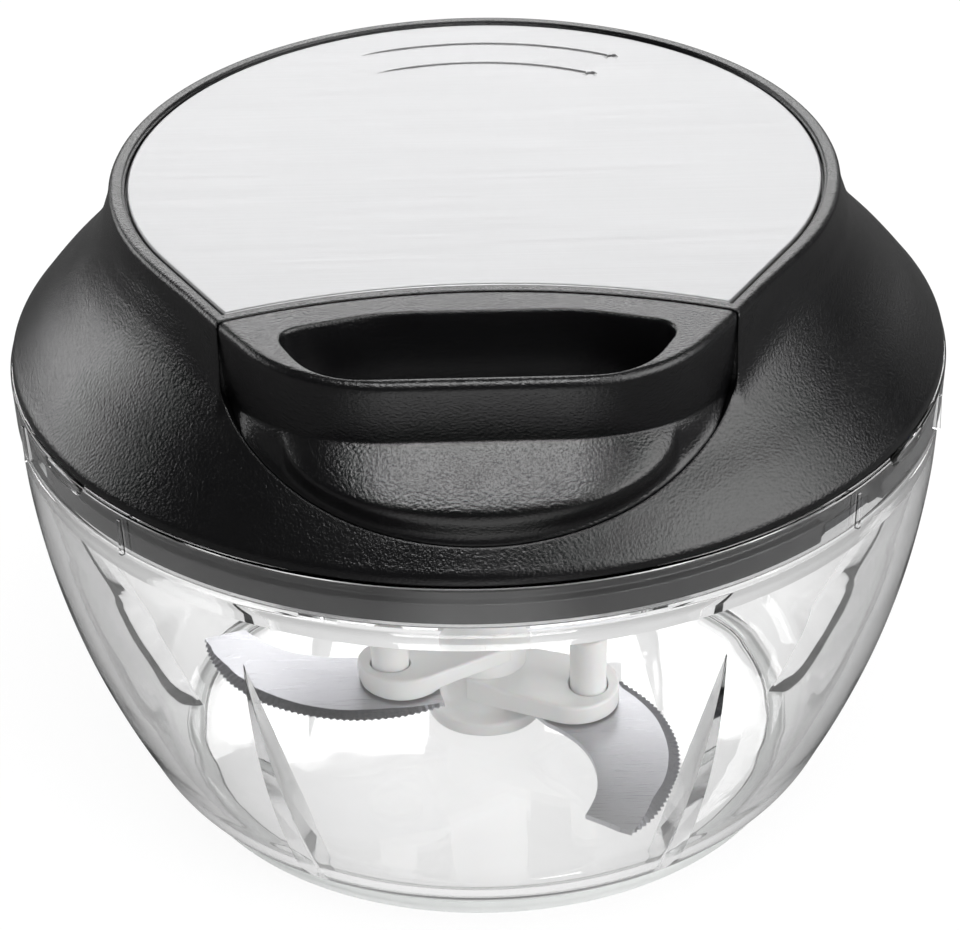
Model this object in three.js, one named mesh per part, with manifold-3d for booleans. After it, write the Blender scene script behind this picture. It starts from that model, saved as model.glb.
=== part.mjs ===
// Pull-cord food chopper: a clear bowl, a three-armed blade unit on a steel pin, and a lid that
// holds a spring-loaded cord drum and a handle. Pulling the handle unwinds the cord, and the drum
// drives the blade unit through a hexagonal socket. The lid locks on with a short turn.
// Millimetres, +Z up. The origin lies on the axis of the bowl, where its foot stands. The handle
// is at the front, towards -Y.

import * as THREE from 'three';
import { mergeVertices } from 'three/addons/utils/BufferGeometryUtils.js';
import Module from 'manifold-3d';

const wasm = await Module();
wasm.setup();

// Fits and cutting
const gap = 0.3;              // seat gap between pieces that touch
const running_gap = 0.4;      // clearance round what turns or slides
const overrun = 1;            // how far a cutter passes the face that it cuts

// Clear bowl
const bowl_radius = 71.7;     // outside, just under the rim band
const shoulder_height = 66;
const bowl_wall = 2.6;
const floor_radius = 43;      // flat part of the floor
const floor_thickness = 2.4;
const floor_recess = 1.3;     // underside of the floor above the table
const rim_step = 0.25;        // step from the bowl wall out to the rim band
const rim_draft = 0.35;
const rim_wall = 1.2;
const shoulder_bead = 1.6;    // thickening inside the shoulder, which carries the seal
const ledge_height = 0.9;     // ledge above the shoulder height
const rim_band_height = 7.1;  // rim above the ledge
// Outside of the bowl wall from the foot to the shoulder, as shares of its radius and height
const bowl_curve_shares = [
  [0.768, 0.092], [0.813, 0.183], [0.863, 0.305], [0.915, 0.4595], [0.960, 0.642], [0.990, 0.841],
];

// Fins that stand on the inner wall of the bowl
const fin_count = 6;
const fin_width = 5.8;        // at the floor
const fin_tip_width = 0.5;
const fin_reach = 47.3;       // radius of the fin's ridge at the floor
const fin_height_share = 0.788; // of the shoulder height
const fin_steps = 5;

// Bayonet
const lug_count = 3;
const lug_azimuth = -28.6;    // degrees, of the lug at the front right
const lug_width = 12;
const lug_height = 2.8;
const lug_reach = 1.6;
const lug_skin = 0.6;
const lug_pocket_depth = 0.9;
const unlock_angle = 12;      // degrees that the lid turns to come free
const notch_width = 16;
const notch_slope_share = 0.12;
const rib_angle = 12.5;       // degrees from a lug to the thin ribs on each side of it
const rib_width = 0.6;
const rib_proud = 0.3;

// Foot ring
const foot_radius = 50.8;
const foot_width = 3;
const foot_height = 2.3;
const foot_edge = 0.5;

// Spindle pin
const pin_radius = 2.5;
const pin_height = 30;
const pin_chamfer = 0.8;
const pin_embed = 1.2;        // depth of the pin in the floor

// Lid
const lid_rise = 28.3;        // from the lower edge of the cover to its top
const cover_inset = 0.4;      // of the cover's lower edge from the rim's outside
const cover_wall = 2.2;
const ring_radius = 55;
const ring_width = 2.2;
const ring_bevel = 0.5;
const ring_side_azimuth = -30.1; // degrees, where the straight sides of the ring begin
const neck_height = 3.3;      // height of the upright band under the ring's top
// Flank of the cover from its lower edge to the neck, as shares of the way in and of the rise
const flank_shares = [
  [0, 0], [0.009, 0.05], [0.077, 0.115], [0.272, 0.28], [0.524, 0.465], [0.734, 0.65],
  [0.849, 0.795], [0.923, 0.916],
];
const plate_thickness = 0.8;
const plate_seat = 1.7;       // thickness of the cover under the plate
const plate_sink = 0.3;       // plate's top below the ring's top
const arc_depth = 0.3;
const arc_width = 1.3;
const arc_radius = 45;        // of the outer embossed arc
const arc_pitch = 7.2;
const arc_span = 54;          // degrees
const arc_turn = -2.8;        // degrees that the arcs are turned off the centre line
const arc_pit_radius = 1.1;   // of the round pit that ends each arc

// Handle and its pocket in the cover
const pocket_half_width = 36.7;
const pocket_back = 38.4;     // middle of the pocket's back wall, in front of the axis
const pocket_sag_radius = 95;
const pocket_depth = 13.9;    // below the grip's lower edge
const pocket_wall = 2;
const corner_reach = 1.4;     // how far the ring's front corners run past the pocket's back wall
const grip_height = 9.8;      // upright front wall of the handle
const grip_front = 64.6;
const grip_corner_half_width = 36.9;
const grip_corner_y = 45.9;
const grip_bend_half_width = 25.5;
const grip_bend_radius = 25;
const grip_bevel = 0.5;
const grip_draft = 1.2;       // of the front wall, from its top in to its lower edge
const finger_back = 44.2;
const finger_front = 62.5;
const finger_half_width = 28.9;
const finger_front_half_width = 22.5;
const finger_front_radius = 12.3; // of the front corners
const finger_back_half_width = 14;
const finger_corner_y = 48.8;
const finger_depth = 12;
// Finger pocket at several depths: share of the depth, of the width and of the front-to-back size
const finger_level_shares = [
  [0, 1, 1], [0.3, 0.985, 0.88], [0.6, 0.95, 0.66], [0.8, 0.9, 0.5], [0.93, 0.84, 0.38], [1, 0.77, 0.27],
];
const finger_back_draft = 1;
const scoop_half_width = 29.5;
const scoop_height = 9.8;
const scoop_depth = 11.2;
const scoop_lead = 1.8;       // middle of the scoop's section in front of the flank
const scoop_taper = 1.5;      // how fast the scoop grows shallow towards its ends
const scoop_squareness = 2.3; // power of the scoop's outline, 2 for an ellipse
const scoop_end_share = 0.99;
const scoop_steps = 14;

// Cord
const cord_diameter = 1.8;
const cord_bore = 2.5;
const pull_length = 440;      // travel of the handle
const spare_turns = 0.55;
const lead_drop_share = 0.2;  // of the lead's drop to the eyelet, over its first half
const winding_pitch = 2.4;
const winding_steps = 24;     // in each turn
const cord_sides = 6;
const knot_radius = 2.1;
const plug_radius = 3.3;
const plug_length = 5.2;
const knot_chamber = 4.5;
const eyelet_wall = 1.3;
const eyelet_flange = 1.2;
const eyelet_flange_radius = 3.8;

// Drum, its spring and its axle
const drum_pitch_radius = 22; // of the cord's middle on the drum
const drum_flange_radius = 27;
const drum_flange = 1.5;
const drum_wall = 1.8;
const drum_web = 2;
const drum_cap_thickness = 1.5;
const drum_cap_step = 1.1;
const winding_play = 0.6;
const stub_radius = 8.4;
const stub_wall = 1.8;
const stub_length = 9.9;
const axle_radius = 2.9;
const axle_top_slack = 0.7;
const axle_tail = 1.4;
const axle_boss_radius = 6;
const axle_boss_length = 5.2;
const arbor_wall = 1.8;
const spring_turns = 6;
const spring_thickness = 0.5;
const spring_height = 8.4;
const spring_steps = 12;      // in each turn
const spring_end_gap = 0.5;

// Base plate of the lid
const base_thickness = 2.1;
const skirt_wall = 2.7;
const flange_height = 3.5;
const seal_width = 1.3;
const seal_height = 1.5;
const seal_lip = 0.25;
const locating_rim_height = 2.5;
const locating_rim_wall = 2;
const locating_chamfer = 1.6;
const collar_wall = 2.2;
const collar_drop = 4;
const bush_wall = 1.4;
const bush_flange = 0.9;
const bush_flange_reach = 2.2;
const screw_count = 4;
const screw_circle = 50;
const screw_azimuth = 30;     // degrees, of the first screw from the X axis
const screw_radius = 1.5;
const screw_length = 9;
const screw_head_radius = 2.9;
const screw_head_height = 1.2;
const screw_slot = 0.8;
const screw_boss_radius = 3.6;

// Drive between drum and blade unit
const hex_plug_radius = 4.9;  // to its corners
const hex_socket_radius = 5.48;
const hex_offset = 6;         // degrees that the plug leads in the socket, half the unlocking turn
const socket_length = 8.7;
const socket_depth = 8;
const plug_engagement = 5.5;
const column_to_socket = 2.5;

// Blade unit
const column_radius = 6.7;
const column_top_radius = 6.2;
const hub_foot_radius = 9.7;
const hub_foot_height = 2.4;
const arm_azimuth = -25.5;    // degrees, of the lowest arm; each higher arm is turned clockwise from it
const arm_count = 3;
const arm_rise = 7;           // from one arm to the next
const first_arm_height = 5.4; // lowest arm above the hub's foot
const arm_thickness = 3.4;
const arm_half_width = 7.4;
const arm_end = 16;           // middle of the arm's round end
const post_circle = 18.5;
const post_radius = 3;
const post_height = 10.5;
const post_head_radius = 4.4;
const post_head_height = 0.9;
const blade_thickness = 0.9;
// Arcs of a blade's cutting edge and back, as shares of the bowl's radius
const blade_edge_share = 0.385;
const blade_edge_centre_share = [0.166, -0.244];
const blade_back_share = 0.265;
const blade_back_centre_share = [0.1464, -0.3626];
const blade_root = 9.6;
const blade_tip_angle = -22;  // degrees round the centre of the cutting edge
const blade_heel_angle = 84;
const blade_back_tip_angle = -3;
const blade_back_heel_angle = 78;
const tooth_count = 32;
const tooth_depth = 0.45;

// Facets
const round_steps = 48;
const small_steps = 20;
const curve_steps = 4;
const wall_steps = 8;         // up the bowl's wall
const flank_steps = 8;        // up the flank of the cover

// Places worked out from the sizes above
const floor_top = floor_recess + floor_thickness;
const ledge_z = shoulder_height + ledge_height;
const rim_height = ledge_z + rim_band_height;
const fin_height = fin_height_share * shoulder_height;
const rim_radius = bowl_radius + rim_step + rim_draft;
const rim_inner = rim_radius - rim_wall;
const seal_bore = bowl_radius - bowl_wall - shoulder_bead;
const lug_inner = rim_inner - lug_reach;
const lug_bottom = rim_height - lug_height;
const skirt_radius = lug_inner - gap;
const skirt_bottom = ledge_z + running_gap;
const flange_radius = rim_inner - running_gap;
const flange_top = Math.min(skirt_bottom + flange_height, lug_bottom - gap);
const base_top = rim_height;
const base_bottom = base_top - base_thickness;
const seam_z = rim_height + gap;
const cover_radius = rim_radius - cover_inset;
const top_z = seam_z + lid_rise;
const neck_z = top_z - neck_height;
const plate_top = top_z - plate_sink;
const plate_bottom = plate_top - plate_thickness;
const ceiling_z = plate_bottom - gap - plate_seat;
const crease_z = top_z - grip_height;
const pocket_bottom = crease_z - pocket_depth;
const pocket_inner_wall = pocket_back - pocket_wall;

const collar_bore = stub_radius + gap + bush_wall + gap;
const bush_flange_z = base_top + locating_rim_height + gap;
const drum_bottom = bush_flange_z + bush_flange + gap;
const winding_base = drum_bottom + drum_flange;
const unit_turns = pull_length / (2 * Math.PI * drum_pitch_radius);
const winding_turns = unit_turns + spare_turns;
const winding_height = winding_turns * winding_pitch + cord_diameter + winding_play;
const drum_flange_top = winding_base + winding_height + drum_flange;
const barrel_radius = drum_pitch_radius - cord_diameter / 2 - gap / 2;
const barrel_bore = barrel_radius - drum_wall;
const web_top = drum_bottom + drum_web;
const cord_z = winding_base + winding_height / 2;
const stub_bottom = drum_bottom - stub_length;
const stub_bore = stub_radius - stub_wall;
const axle_bore = axle_radius + gap;
const axle_bottom = drum_bottom - axle_tail;
const axle_top = ceiling_z - axle_top_slack;
const arbor_radius = axle_bore + arbor_wall;
const socket_top = axle_bottom - gap;
const socket_bottom = socket_top - socket_length;

const hub_bottom = floor_top + running_gap;
const hub_top = socket_bottom - column_to_socket;
const plug_top = socket_bottom + plug_engagement;
const hub_bore = pin_radius + gap;
const pin_top = floor_top + pin_height;
const post_bore = post_radius + gap;

const radians = (degrees) => THREE.MathUtils.degToRad(degrees);
const at = (radius, azimuth, z = 0) => new THREE.Vector3(
  radius * Math.cos(radians(azimuth)), radius * Math.sin(radians(azimuth)), z);
const around = (count, first, make) => Array.from(
  { length: count }, (_, i) => make(first + (i * 360) / count, i));

// Solids: geometry to solid and back, joining and cutting
function volume(geometry) {
  const p = geometry.getAttribute('position');
  const index = geometry.index;
  const [a, b, c] = [new THREE.Vector3(), new THREE.Vector3(), new THREE.Vector3()];
  let sum = 0;
  for (let i = 0; i < index.count; i += 3) {
    a.fromBufferAttribute(p, index.getX(i));
    b.fromBufferAttribute(p, index.getX(i + 1));
    c.fromBufferAttribute(p, index.getX(i + 2));
    sum += a.dot(b.cross(c)) / 6;
  }
  return sum;
}

function solid(geometry) {
  geometry.deleteAttribute('normal');
  geometry.deleteAttribute('uv');
  const merged = mergeVertices(geometry, gap / 1000);
  const triVerts = Uint32Array.from(merged.index.array);
  if (volume(merged) < 0) {
    for (let i = 0; i < triVerts.length; i += 3) {
      [triVerts[i + 1], triVerts[i + 2]] = [triVerts[i + 2], triVerts[i + 1]];
    }
  }
  const vertProperties = Float32Array.from(merged.getAttribute('position').array);
  return new wasm.Manifold(new wasm.Mesh({ numProp: 3, vertProperties, triVerts }));
}

const join = (first, ...rest) => rest.reduce((sum, next) => sum.add(next), first);
const cut = (first, ...rest) => rest.reduce((sum, next) => sum.subtract(next), first);

function toGeometry(body) {
  const { vertProperties, triVerts } = body.getMesh();
  const geometry = new THREE.BufferGeometry();
  geometry.setAttribute('position', new THREE.BufferAttribute(vertProperties, 3));
  geometry.setIndex(new THREE.BufferAttribute(triVerts, 1));
  geometry.computeVertexNormals();
  return geometry;
}

// Forms
const points2 = (pairs) => pairs.map(([x, y]) => new THREE.Vector2(x, y));

// A profile of [radius, height] pairs turned about the Z axis. It closes on the axis or on itself.
function revolve(profile, steps = round_steps) {
  const outline = points2(profile);
  const first = outline[0];
  if (first.x > 0) outline.push(first.clone());
  return solid(new THREE.LatheGeometry(outline, steps).rotateX(Math.PI / 2));
}

function prism(shape, z0, z1, steps = small_steps) {
  const geometry = new THREE.ExtrudeGeometry(shape, {
    depth: z1 - z0, bevelEnabled: false, curveSegments: steps,
  });
  return solid(geometry.translate(0, 0, z0));
}

// A prism whose top edge is rounded, so it ends at z1 with the outline drawn in by the bevel.
function beveledPrism(shape, z0, z1, bevel, steps = small_steps) {
  const geometry = new THREE.ExtrudeGeometry(shape, {
    depth: z1 - z0 - 2 * bevel, curveSegments: steps,
    bevelThickness: bevel, bevelSize: bevel, bevelOffset: -bevel, bevelSegments: 1,
  });
  return solid(geometry.translate(0, 0, z0 + bevel));
}

// A prism of a shape drawn in X and Z, from y0 back to y1.
function prismAlongY(shape, y0, y1, steps = small_steps) {
  const geometry = new THREE.ExtrudeGeometry(shape, {
    depth: y1 - y0, bevelEnabled: false, curveSegments: steps,
  });
  return solid(geometry.rotateX(Math.PI / 2).translate(0, y1, 0));
}

// A prism of a shape drawn across the radius and up, from radius r0 out to r1.
function radialPrism(shape, r0, r1, azimuth) {
  const geometry = new THREE.ExtrudeGeometry(shape, {
    depth: r1 - r0, bevelEnabled: false, curveSegments: curve_steps,
  });
  const up = new THREE.Vector3(0, 0, 1);
  const basis = new THREE.Matrix4().makeBasis(at(1, azimuth + 90), up, at(1, azimuth));
  return solid(geometry.translate(0, 0, r0).applyMatrix4(basis));
}

function rod(radius, z0, z1, place = new THREE.Vector3(), steps = small_steps) {
  const geometry = new THREE.CylinderGeometry(radius, radius, z1 - z0, steps).rotateX(Math.PI / 2);
  return solid(geometry.translate(place.x, place.y, (z0 + z1) / 2));
}

function rodAlongY(radius, y0, y1, z, steps = small_steps) {
  return solid(new THREE.CylinderGeometry(radius, radius, y1 - y0, steps).translate(0, (y0 + y1) / 2, z));
}

function hexagon(radius, z0, z1, turn) {
  const geometry = new THREE.CylinderGeometry(radius, radius, z1 - z0, 6).rotateX(Math.PI / 2);
  return solid(geometry.rotateZ(radians(turn)).translate(0, 0, (z0 + z1) / 2));
}

// A closed body through rings of points that match one to one.
function loft(rings) {
  const count = rings[0].length;
  const points = rings.flat();
  const triangles = [];
  for (let r = 0; r + 1 < rings.length; r += 1) {
    for (let i = 0; i < count; i += 1) {
      const [a, b] = [r * count + i, r * count + ((i + 1) % count)];
      triangles.push(a, b, b + count, a, b + count, a + count);
    }
  }
  for (const [ring, flip] of [[0, true], [rings.length - 1, false]]) {
    const centre = points.length;
    points.push(rings[ring].reduce((sum, p) => sum.add(p), new THREE.Vector3()).divideScalar(count));
    for (let i = 0; i < count; i += 1) {
      const [a, b] = [ring * count + i, ring * count + ((i + 1) % count)];
      triangles.push(...(flip ? [centre, b, a] : [centre, a, b]));
    }
  }
  return solid(new THREE.BufferGeometry().setFromPoints(points).setIndex(triangles));
}

// A shape with its corners rounded. Each corner is [x, y, radius]. Two rounded corners share the
// side between them.
function roundedShape(corners) {
  const shape = new THREE.Shape();
  corners.forEach(([x, y, radius = 0], i) => {
    const corner = new THREE.Vector2(x, y);
    const [px, py, before = 0] = corners[(i + corners.length - 1) % corners.length];
    const [nx, ny, after = 0] = corners[(i + 1) % corners.length];
    const back = new THREE.Vector2(px, py).sub(corner);
    const ahead = new THREE.Vector2(nx, ny).sub(corner);
    const turn = Math.PI - Math.abs(back.angleTo(ahead));
    const room = Math.min(back.length() / (before > 0 ? 2 : 1), ahead.length() / (after > 0 ? 2 : 1));
    const cutback = Math.min(radius * Math.tan(turn / 2), room);
    const from = corner.clone().add(back.setLength(cutback));
    const to = corner.clone().add(ahead.setLength(cutback));
    if (i === 0) shape.moveTo(from.x, from.y);
    else shape.lineTo(from.x, from.y);
    if (cutback > 0) shape.quadraticCurveTo(x, y, to.x, to.y);
  });
  shape.closePath();
  return shape;
}

const smooth = (pairs, steps) => {
  const points = pairs.map(([r, z]) => new THREE.Vector3(r, z, 0));
  const curve = new THREE.CatmullRomCurve3(points, false, 'centripetal');
  return curve.getPoints(steps).map((p) => [p.x, p.y]);
};

// A profile moved to its inner side by a distance.
function inset(profile, distance) {
  return profile.map(([r, z], i) => {
    const [r0, z0] = profile[Math.max(i - 1, 0)];
    const [r1, z1] = profile[Math.min(i + 1, profile.length - 1)];
    const slope = new THREE.Vector2(r1 - r0, z1 - z0).setLength(distance);
    return [r - slope.y, z + slope.x];
  });
}

// Radius of a rising or falling profile at a height
function radiusAt(profile, z) {
  const i = profile.findIndex(([, height], k) => k > 0 && (height - z) * (profile[k - 1][1] - z) <= 0);
  if (i < 0) return profile[0][0];
  const [[r0, z0], [r1, z1]] = [profile[i - 1], profile[i]];
  return THREE.MathUtils.mapLinear(z, z0, z1, r0, r1);
}

// Bowl
const bowl_outside = smooth([
  [foot_radius, foot_height + gap],
  ...bowl_curve_shares.map(([r, z]) => [r * bowl_radius, z * shoulder_height]),
  [bowl_radius, shoulder_height],
], wall_steps);

function bowlInside() {
  const blend_height = floor_top + 2 * bowl_wall;
  const wall = inset(bowl_outside, bowl_wall)
    .filter(([, z]) => z > blend_height && z < shoulder_height - bowl_wall);
  const [r0, z0] = wall[0];
  const [r1, z1] = wall[1];
  const foot_of_wall = r0 - ((z0 - floor_top) * (r1 - r0)) / (z1 - z0);
  const corner = new THREE.QuadraticBezierCurve(...points2([
    [floor_radius, floor_top], [foot_of_wall, floor_top], [r0, z0]]));
  return [...corner.getPoints(curve_steps).map((p) => [p.x, p.y]), ...wall.slice(1)];
}

const bowl_inside = bowlInside();

function bowlFin(azimuth) {
  const base = floor_top - gap;
  const top = base + fin_height;
  const ridge_top = radiusAt(bowl_inside, top) + gap;
  const rings = Array.from({ length: fin_steps + 1 }, (_, i) => {
    const share = i / fin_steps;
    const z = THREE.MathUtils.lerp(base, top, share);
    const half = THREE.MathUtils.lerp(fin_width, fin_tip_width, share) / 2;
    const wall = Math.max(radiusAt(bowl_inside, z) + bowl_wall / 2, foot_radius - gap);
    const ridge = THREE.MathUtils.lerp(fin_reach, ridge_top, share);
    const side = at(half, azimuth + 90);
    return [at(wall, azimuth, z).add(side), at(ridge, azimuth, z), at(wall, azimuth, z).sub(side)];
  });
  return loft(rings);
}

// A lug of the bayonet: a lens that is flat above and rounded below, hollow on its inner face
function lensShape(width, bottom, top) {
  const shape = new THREE.Shape();
  const half = width / 2;
  shape.moveTo(-half, top);
  shape.bezierCurveTo(-half, bottom, -half / 2, bottom, 0, bottom);
  shape.bezierCurveTo(half / 2, bottom, half, bottom, half, top);
  shape.closePath();
  return shape;
}

function bowlLug(azimuth) {
  const outer = rim_inner + rim_wall / 2;
  const body = radialPrism(lensShape(lug_width, lug_bottom, rim_height - gap), lug_inner, outer, azimuth);
  const hollow = lensShape(lug_width - 2 * lug_skin, lug_bottom + lug_skin, rim_height - gap - lug_skin);
  return cut(body, radialPrism(hollow, lug_inner - overrun, lug_inner + lug_pocket_depth, azimuth));
}

function rimRib(azimuth) {
  const half = rib_width / 2;
  const shape = new THREE.Shape(points2([
    [-half, ledge_z], [half, ledge_z], [half, rim_height - rim_wall], [-half, rim_height - rim_wall]]));
  return radialPrism(shape, rim_inner + rim_wall / 2, rim_radius + rib_proud, azimuth);
}

function makeBowl() {
  const edge = rim_wall / 3;
  const seat_inner = foot_radius - foot_width - gap;
  const bead_z = shoulder_height - bowl_wall;
  const profile = [
    [0, floor_recess], [seat_inner, floor_recess], [seat_inner, foot_height + gap],
    ...bowl_outside,
    [bowl_radius + rim_step, ledge_z],
    [rim_radius, rim_height - edge], [rim_radius - edge, rim_height],
    [rim_inner, rim_height], [rim_inner, ledge_z],
    [seal_bore, ledge_z], [seal_bore, bead_z + shoulder_bead],
    ...bowl_inside.toReversed(),
    [0, floor_top],
  ];
  const lugs = around(lug_count, lug_azimuth, bowlLug);
  const ribs = [-rib_angle, rib_angle].flatMap((turn) => around(lug_count, lug_azimuth + turn, rimRib));
  const fins = around(fin_count, 0, bowlFin);
  const pin_hole = rod(pin_radius + gap, floor_top - pin_embed, floor_top + overrun);
  return cut(join(revolve(profile), ...lugs, ...ribs, ...fins), pin_hole);
}

function makeFootRing() {
  const inner = foot_radius - foot_width;
  return revolve([
    [inner, foot_edge], [inner + foot_edge, 0], [foot_radius - foot_edge, 0], [foot_radius, foot_edge],
    [foot_radius, foot_height], [inner, foot_height],
  ]);
}

function makeSpindlePin() {
  const bottom = floor_top - pin_embed + gap;
  return revolve([
    [0, bottom], [pin_radius, bottom], [pin_radius, pin_top - pin_chamfer],
    [pin_radius - pin_chamfer, pin_top], [0, pin_top],
  ], small_steps);
}

// Lid
const seal_inner = seal_bore + gap;
const seal_outer = seal_inner + seal_width;

function makeLidSeal() {
  const bottom = ledge_z + gap;
  const top = skirt_bottom + seal_height;
  return revolve([
    [seal_inner, bottom + seal_lip], [seal_inner + seal_lip, bottom], [seal_outer - seal_lip, bottom],
    [seal_outer, bottom + seal_lip], [seal_outer, top], [seal_inner, top],
  ]);
}

// Outline of the lid's top: a circle whose sides run on straight to the two front corners, and a
// front edge that bulges back. It is drawn in by a width, with its front edge at a distance.
function topOutline(width, front) {
  const radius = ring_radius - width;
  const side = radians(ring_side_azimuth);
  const touch = new THREE.Vector2(radius * Math.cos(side), radius * Math.sin(side));
  const along = new THREE.Vector2(Math.sin(side), -Math.cos(side));
  const centre = new THREE.Vector2(0, -front - pocket_sag_radius);
  const offset = touch.clone().sub(centre);
  const half_b = offset.dot(along);
  const reach = -half_b - Math.sqrt(half_b ** 2 - offset.lengthSq() + pocket_sag_radius ** 2);
  const corner = touch.clone().addScaledVector(along, reach);
  const sweep = Math.atan2(corner.y - centre.y, corner.x);
  const shape = new THREE.Shape();
  shape.moveTo(corner.x, corner.y);
  shape.lineTo(touch.x, touch.y);
  shape.absarc(0, 0, radius, side, Math.PI - side, false);
  shape.lineTo(-corner.x, corner.y);
  shape.quadraticCurveTo(0, centre.y + pocket_sag_radius / Math.sin(sweep), corner.x, corner.y);
  return shape;
}

function flankProfile() {
  const reach = cover_radius - ring_radius;
  const rise = neck_z - seam_z;
  const rounded = flank_shares.map(([r, z]) => [cover_radius - r * reach, seam_z + z * rise]);
  return smooth([...rounded, [ring_radius + gap, neck_z]], flank_steps);
}

const flank = flankProfile();

function coverBody() {
  const shoulder = top_z - 2 * ring_bevel;
  const neck = ring_radius - gap;
  const body = revolve([[0, seam_z], ...flank, [neck, neck_z], [neck, shoulder], [0, shoulder]]);
  return join(body, beveledPrism(topOutline(0, pocket_back + corner_reach), crease_z, top_z, ring_bevel));
}

// The pocket's section across the lid: upright sides over a half ellipse
function pocketShape(grow, top) {
  const half = pocket_half_width + grow;
  const shape = new THREE.Shape();
  shape.moveTo(half, top);
  shape.lineTo(half, crease_z);
  shape.absellipse(0, crease_z, half, pocket_depth + grow, 0, Math.PI, true, 0);
  shape.lineTo(-half, top);
  shape.closePath();
  return shape;
}

// What lies in front of a curved wall that bulges back
function frontOf(back, z0, z1) {
  const wide = bowl_radius + overrun;
  const centre_y = -back - pocket_sag_radius;
  const sweep = Math.acos(wide / pocket_sag_radius);
  const shape = new THREE.Shape();
  shape.moveTo(wide, -2 * wide);
  shape.absarc(0, centre_y, pocket_sag_radius, sweep, Math.PI - sweep, false);
  shape.lineTo(-wide, -2 * wide);
  shape.closePath();
  return prism(shape, z0, z1, small_steps / 2);
}

function pocketBody(grow, back) {
  const top = top_z + overrun;
  const along = prismAlongY(pocketShape(grow, top), -2 * bowl_radius, 0);
  return along.intersect(frontOf(back, pocket_bottom - 2 * overrun - pocket_wall, top + overrun));
}

const screwPlaces = [screw_azimuth, 180 - screw_azimuth, 180 + screw_azimuth, -screw_azimuth]
  .map((azimuth) => at(screw_circle, azimuth));

function makeCover() {
  const inner_top = ceiling_z;
  const inner = inset(flank, cover_wall).filter(([, z]) => z > seam_z && z < inner_top);
  const edge = cover_radius - cover_wall;
  const cavity = revolve([
    [0, seam_z - overrun], [edge, seam_z - overrun], [edge, inner[0][1]], ...inner.slice(1),
    [inner.at(-1)[0], inner_top], [0, inner_top],
  ]);
  const hollow = cut(cavity, pocketBody(pocket_wall, pocket_inner_wall));
  const plate_recess = prism(topOutline(ring_width, pocket_inner_wall), plate_bottom - gap, top_z + overrun);
  const shell = cut(coverBody(), hollow, pocketBody(0, pocket_back), plate_recess);
  const boss_bottom = base_top + gap;
  const pilot_top = base_top + screw_length + gap;
  const bosses = screwPlaces.map((place) => rod(screw_boss_radius, boss_bottom, inner_top + overrun, place));
  const axle_boss = rod(axle_boss_radius, inner_top - axle_boss_length, inner_top + overrun);
  const pilots = screwPlaces.map((place) => rod(screw_radius + gap, base_top, pilot_top, place));
  const axle_hole = rod(axle_bore, inner_top - axle_boss_length - overrun, axle_top + gap);
  const eyelet_bore = cord_bore / 2 + eyelet_wall + gap;
  const eyelet_hole = rodAlongY(eyelet_bore, -pocket_back - overrun, -pocket_inner_wall + overrun, cord_z);
  return cut(join(shell, ...bosses, axle_boss), ...pilots, axle_hole, eyelet_hole);
}

function embossedArc(radius) {
  const half = radians(arc_span / 2);
  const middle = radians(90 + arc_turn);
  const shape = new THREE.Shape();
  shape.absarc(0, 0, radius + arc_width / 2, middle - half, middle + half, false);
  shape.absarc(0, 0, radius - arc_width / 2, middle + half, middle - half, true);
  shape.closePath();
  const groove = prism(shape, plate_top - arc_depth, plate_top + overrun, small_steps / 2);
  const end = at(radius, 90 + arc_turn - arc_span / 2);
  const pit = rod(arc_pit_radius, plate_top - 1.5 * arc_depth, plate_top + overrun, end, small_steps / 2);
  return join(groove, pit);
}

function makeTopPlate() {
  const outline = topOutline(ring_width + gap, pocket_inner_wall - gap);
  return cut(prism(outline, plate_bottom, plate_top),
    embossedArc(arc_radius), embossedArc(arc_radius - arc_pitch));
}

function lidNotch(azimuth) {
  const half = notch_width / 2;
  const narrow = half * (1 - notch_slope_share);
  const shape = new THREE.Shape(points2([
    [-half, skirt_bottom - overrun], [half, skirt_bottom - overrun],
    [narrow, flange_top + gap / 2], [-narrow, flange_top + gap / 2]]));
  return radialPrism(shape, skirt_radius, flange_radius + overrun, azimuth);
}

function makeLidBase() {
  const skirt_inner = skirt_radius - skirt_wall;
  const groove_outer = seal_outer + gap;
  const groove_top = skirt_bottom + seal_height + gap;
  const locating_radius = cover_radius - cover_wall - running_gap;
  const locating_inner = locating_radius - locating_rim_wall;
  const locating_top = base_top + locating_rim_height;
  const collar_radius = collar_bore + collar_wall;
  const body = revolve([
    [collar_bore, base_bottom - collar_drop], [collar_radius, base_bottom - collar_drop],
    [collar_radius, base_bottom], [skirt_inner, base_bottom], [skirt_inner, groove_top],
    [groove_outer, groove_top], [groove_outer, skirt_bottom],
    [flange_radius, skirt_bottom], [flange_radius, flange_top], [skirt_radius, flange_top],
    [skirt_radius, base_top], [locating_radius, base_top], [locating_radius, locating_top - locating_chamfer],
    [locating_radius - locating_chamfer, locating_top],
    [locating_inner, locating_top], [locating_inner, base_top], [collar_radius, base_top],
    [collar_radius, locating_top], [collar_bore, locating_top],
  ]);
  const notches = around(lug_count, lug_azimuth - unlock_angle, lidNotch);
  const below = base_bottom - overrun;
  const sink_top = base_bottom + screw_head_height / 2;
  const holes = screwPlaces.map((place) => rod(screw_radius + gap, below, base_top + overrun, place));
  const sinks = screwPlaces.map((place) => rod(screw_head_radius + gap, below, sink_top, place));
  return cut(body, ...notches, ...holes, ...sinks);
}

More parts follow.
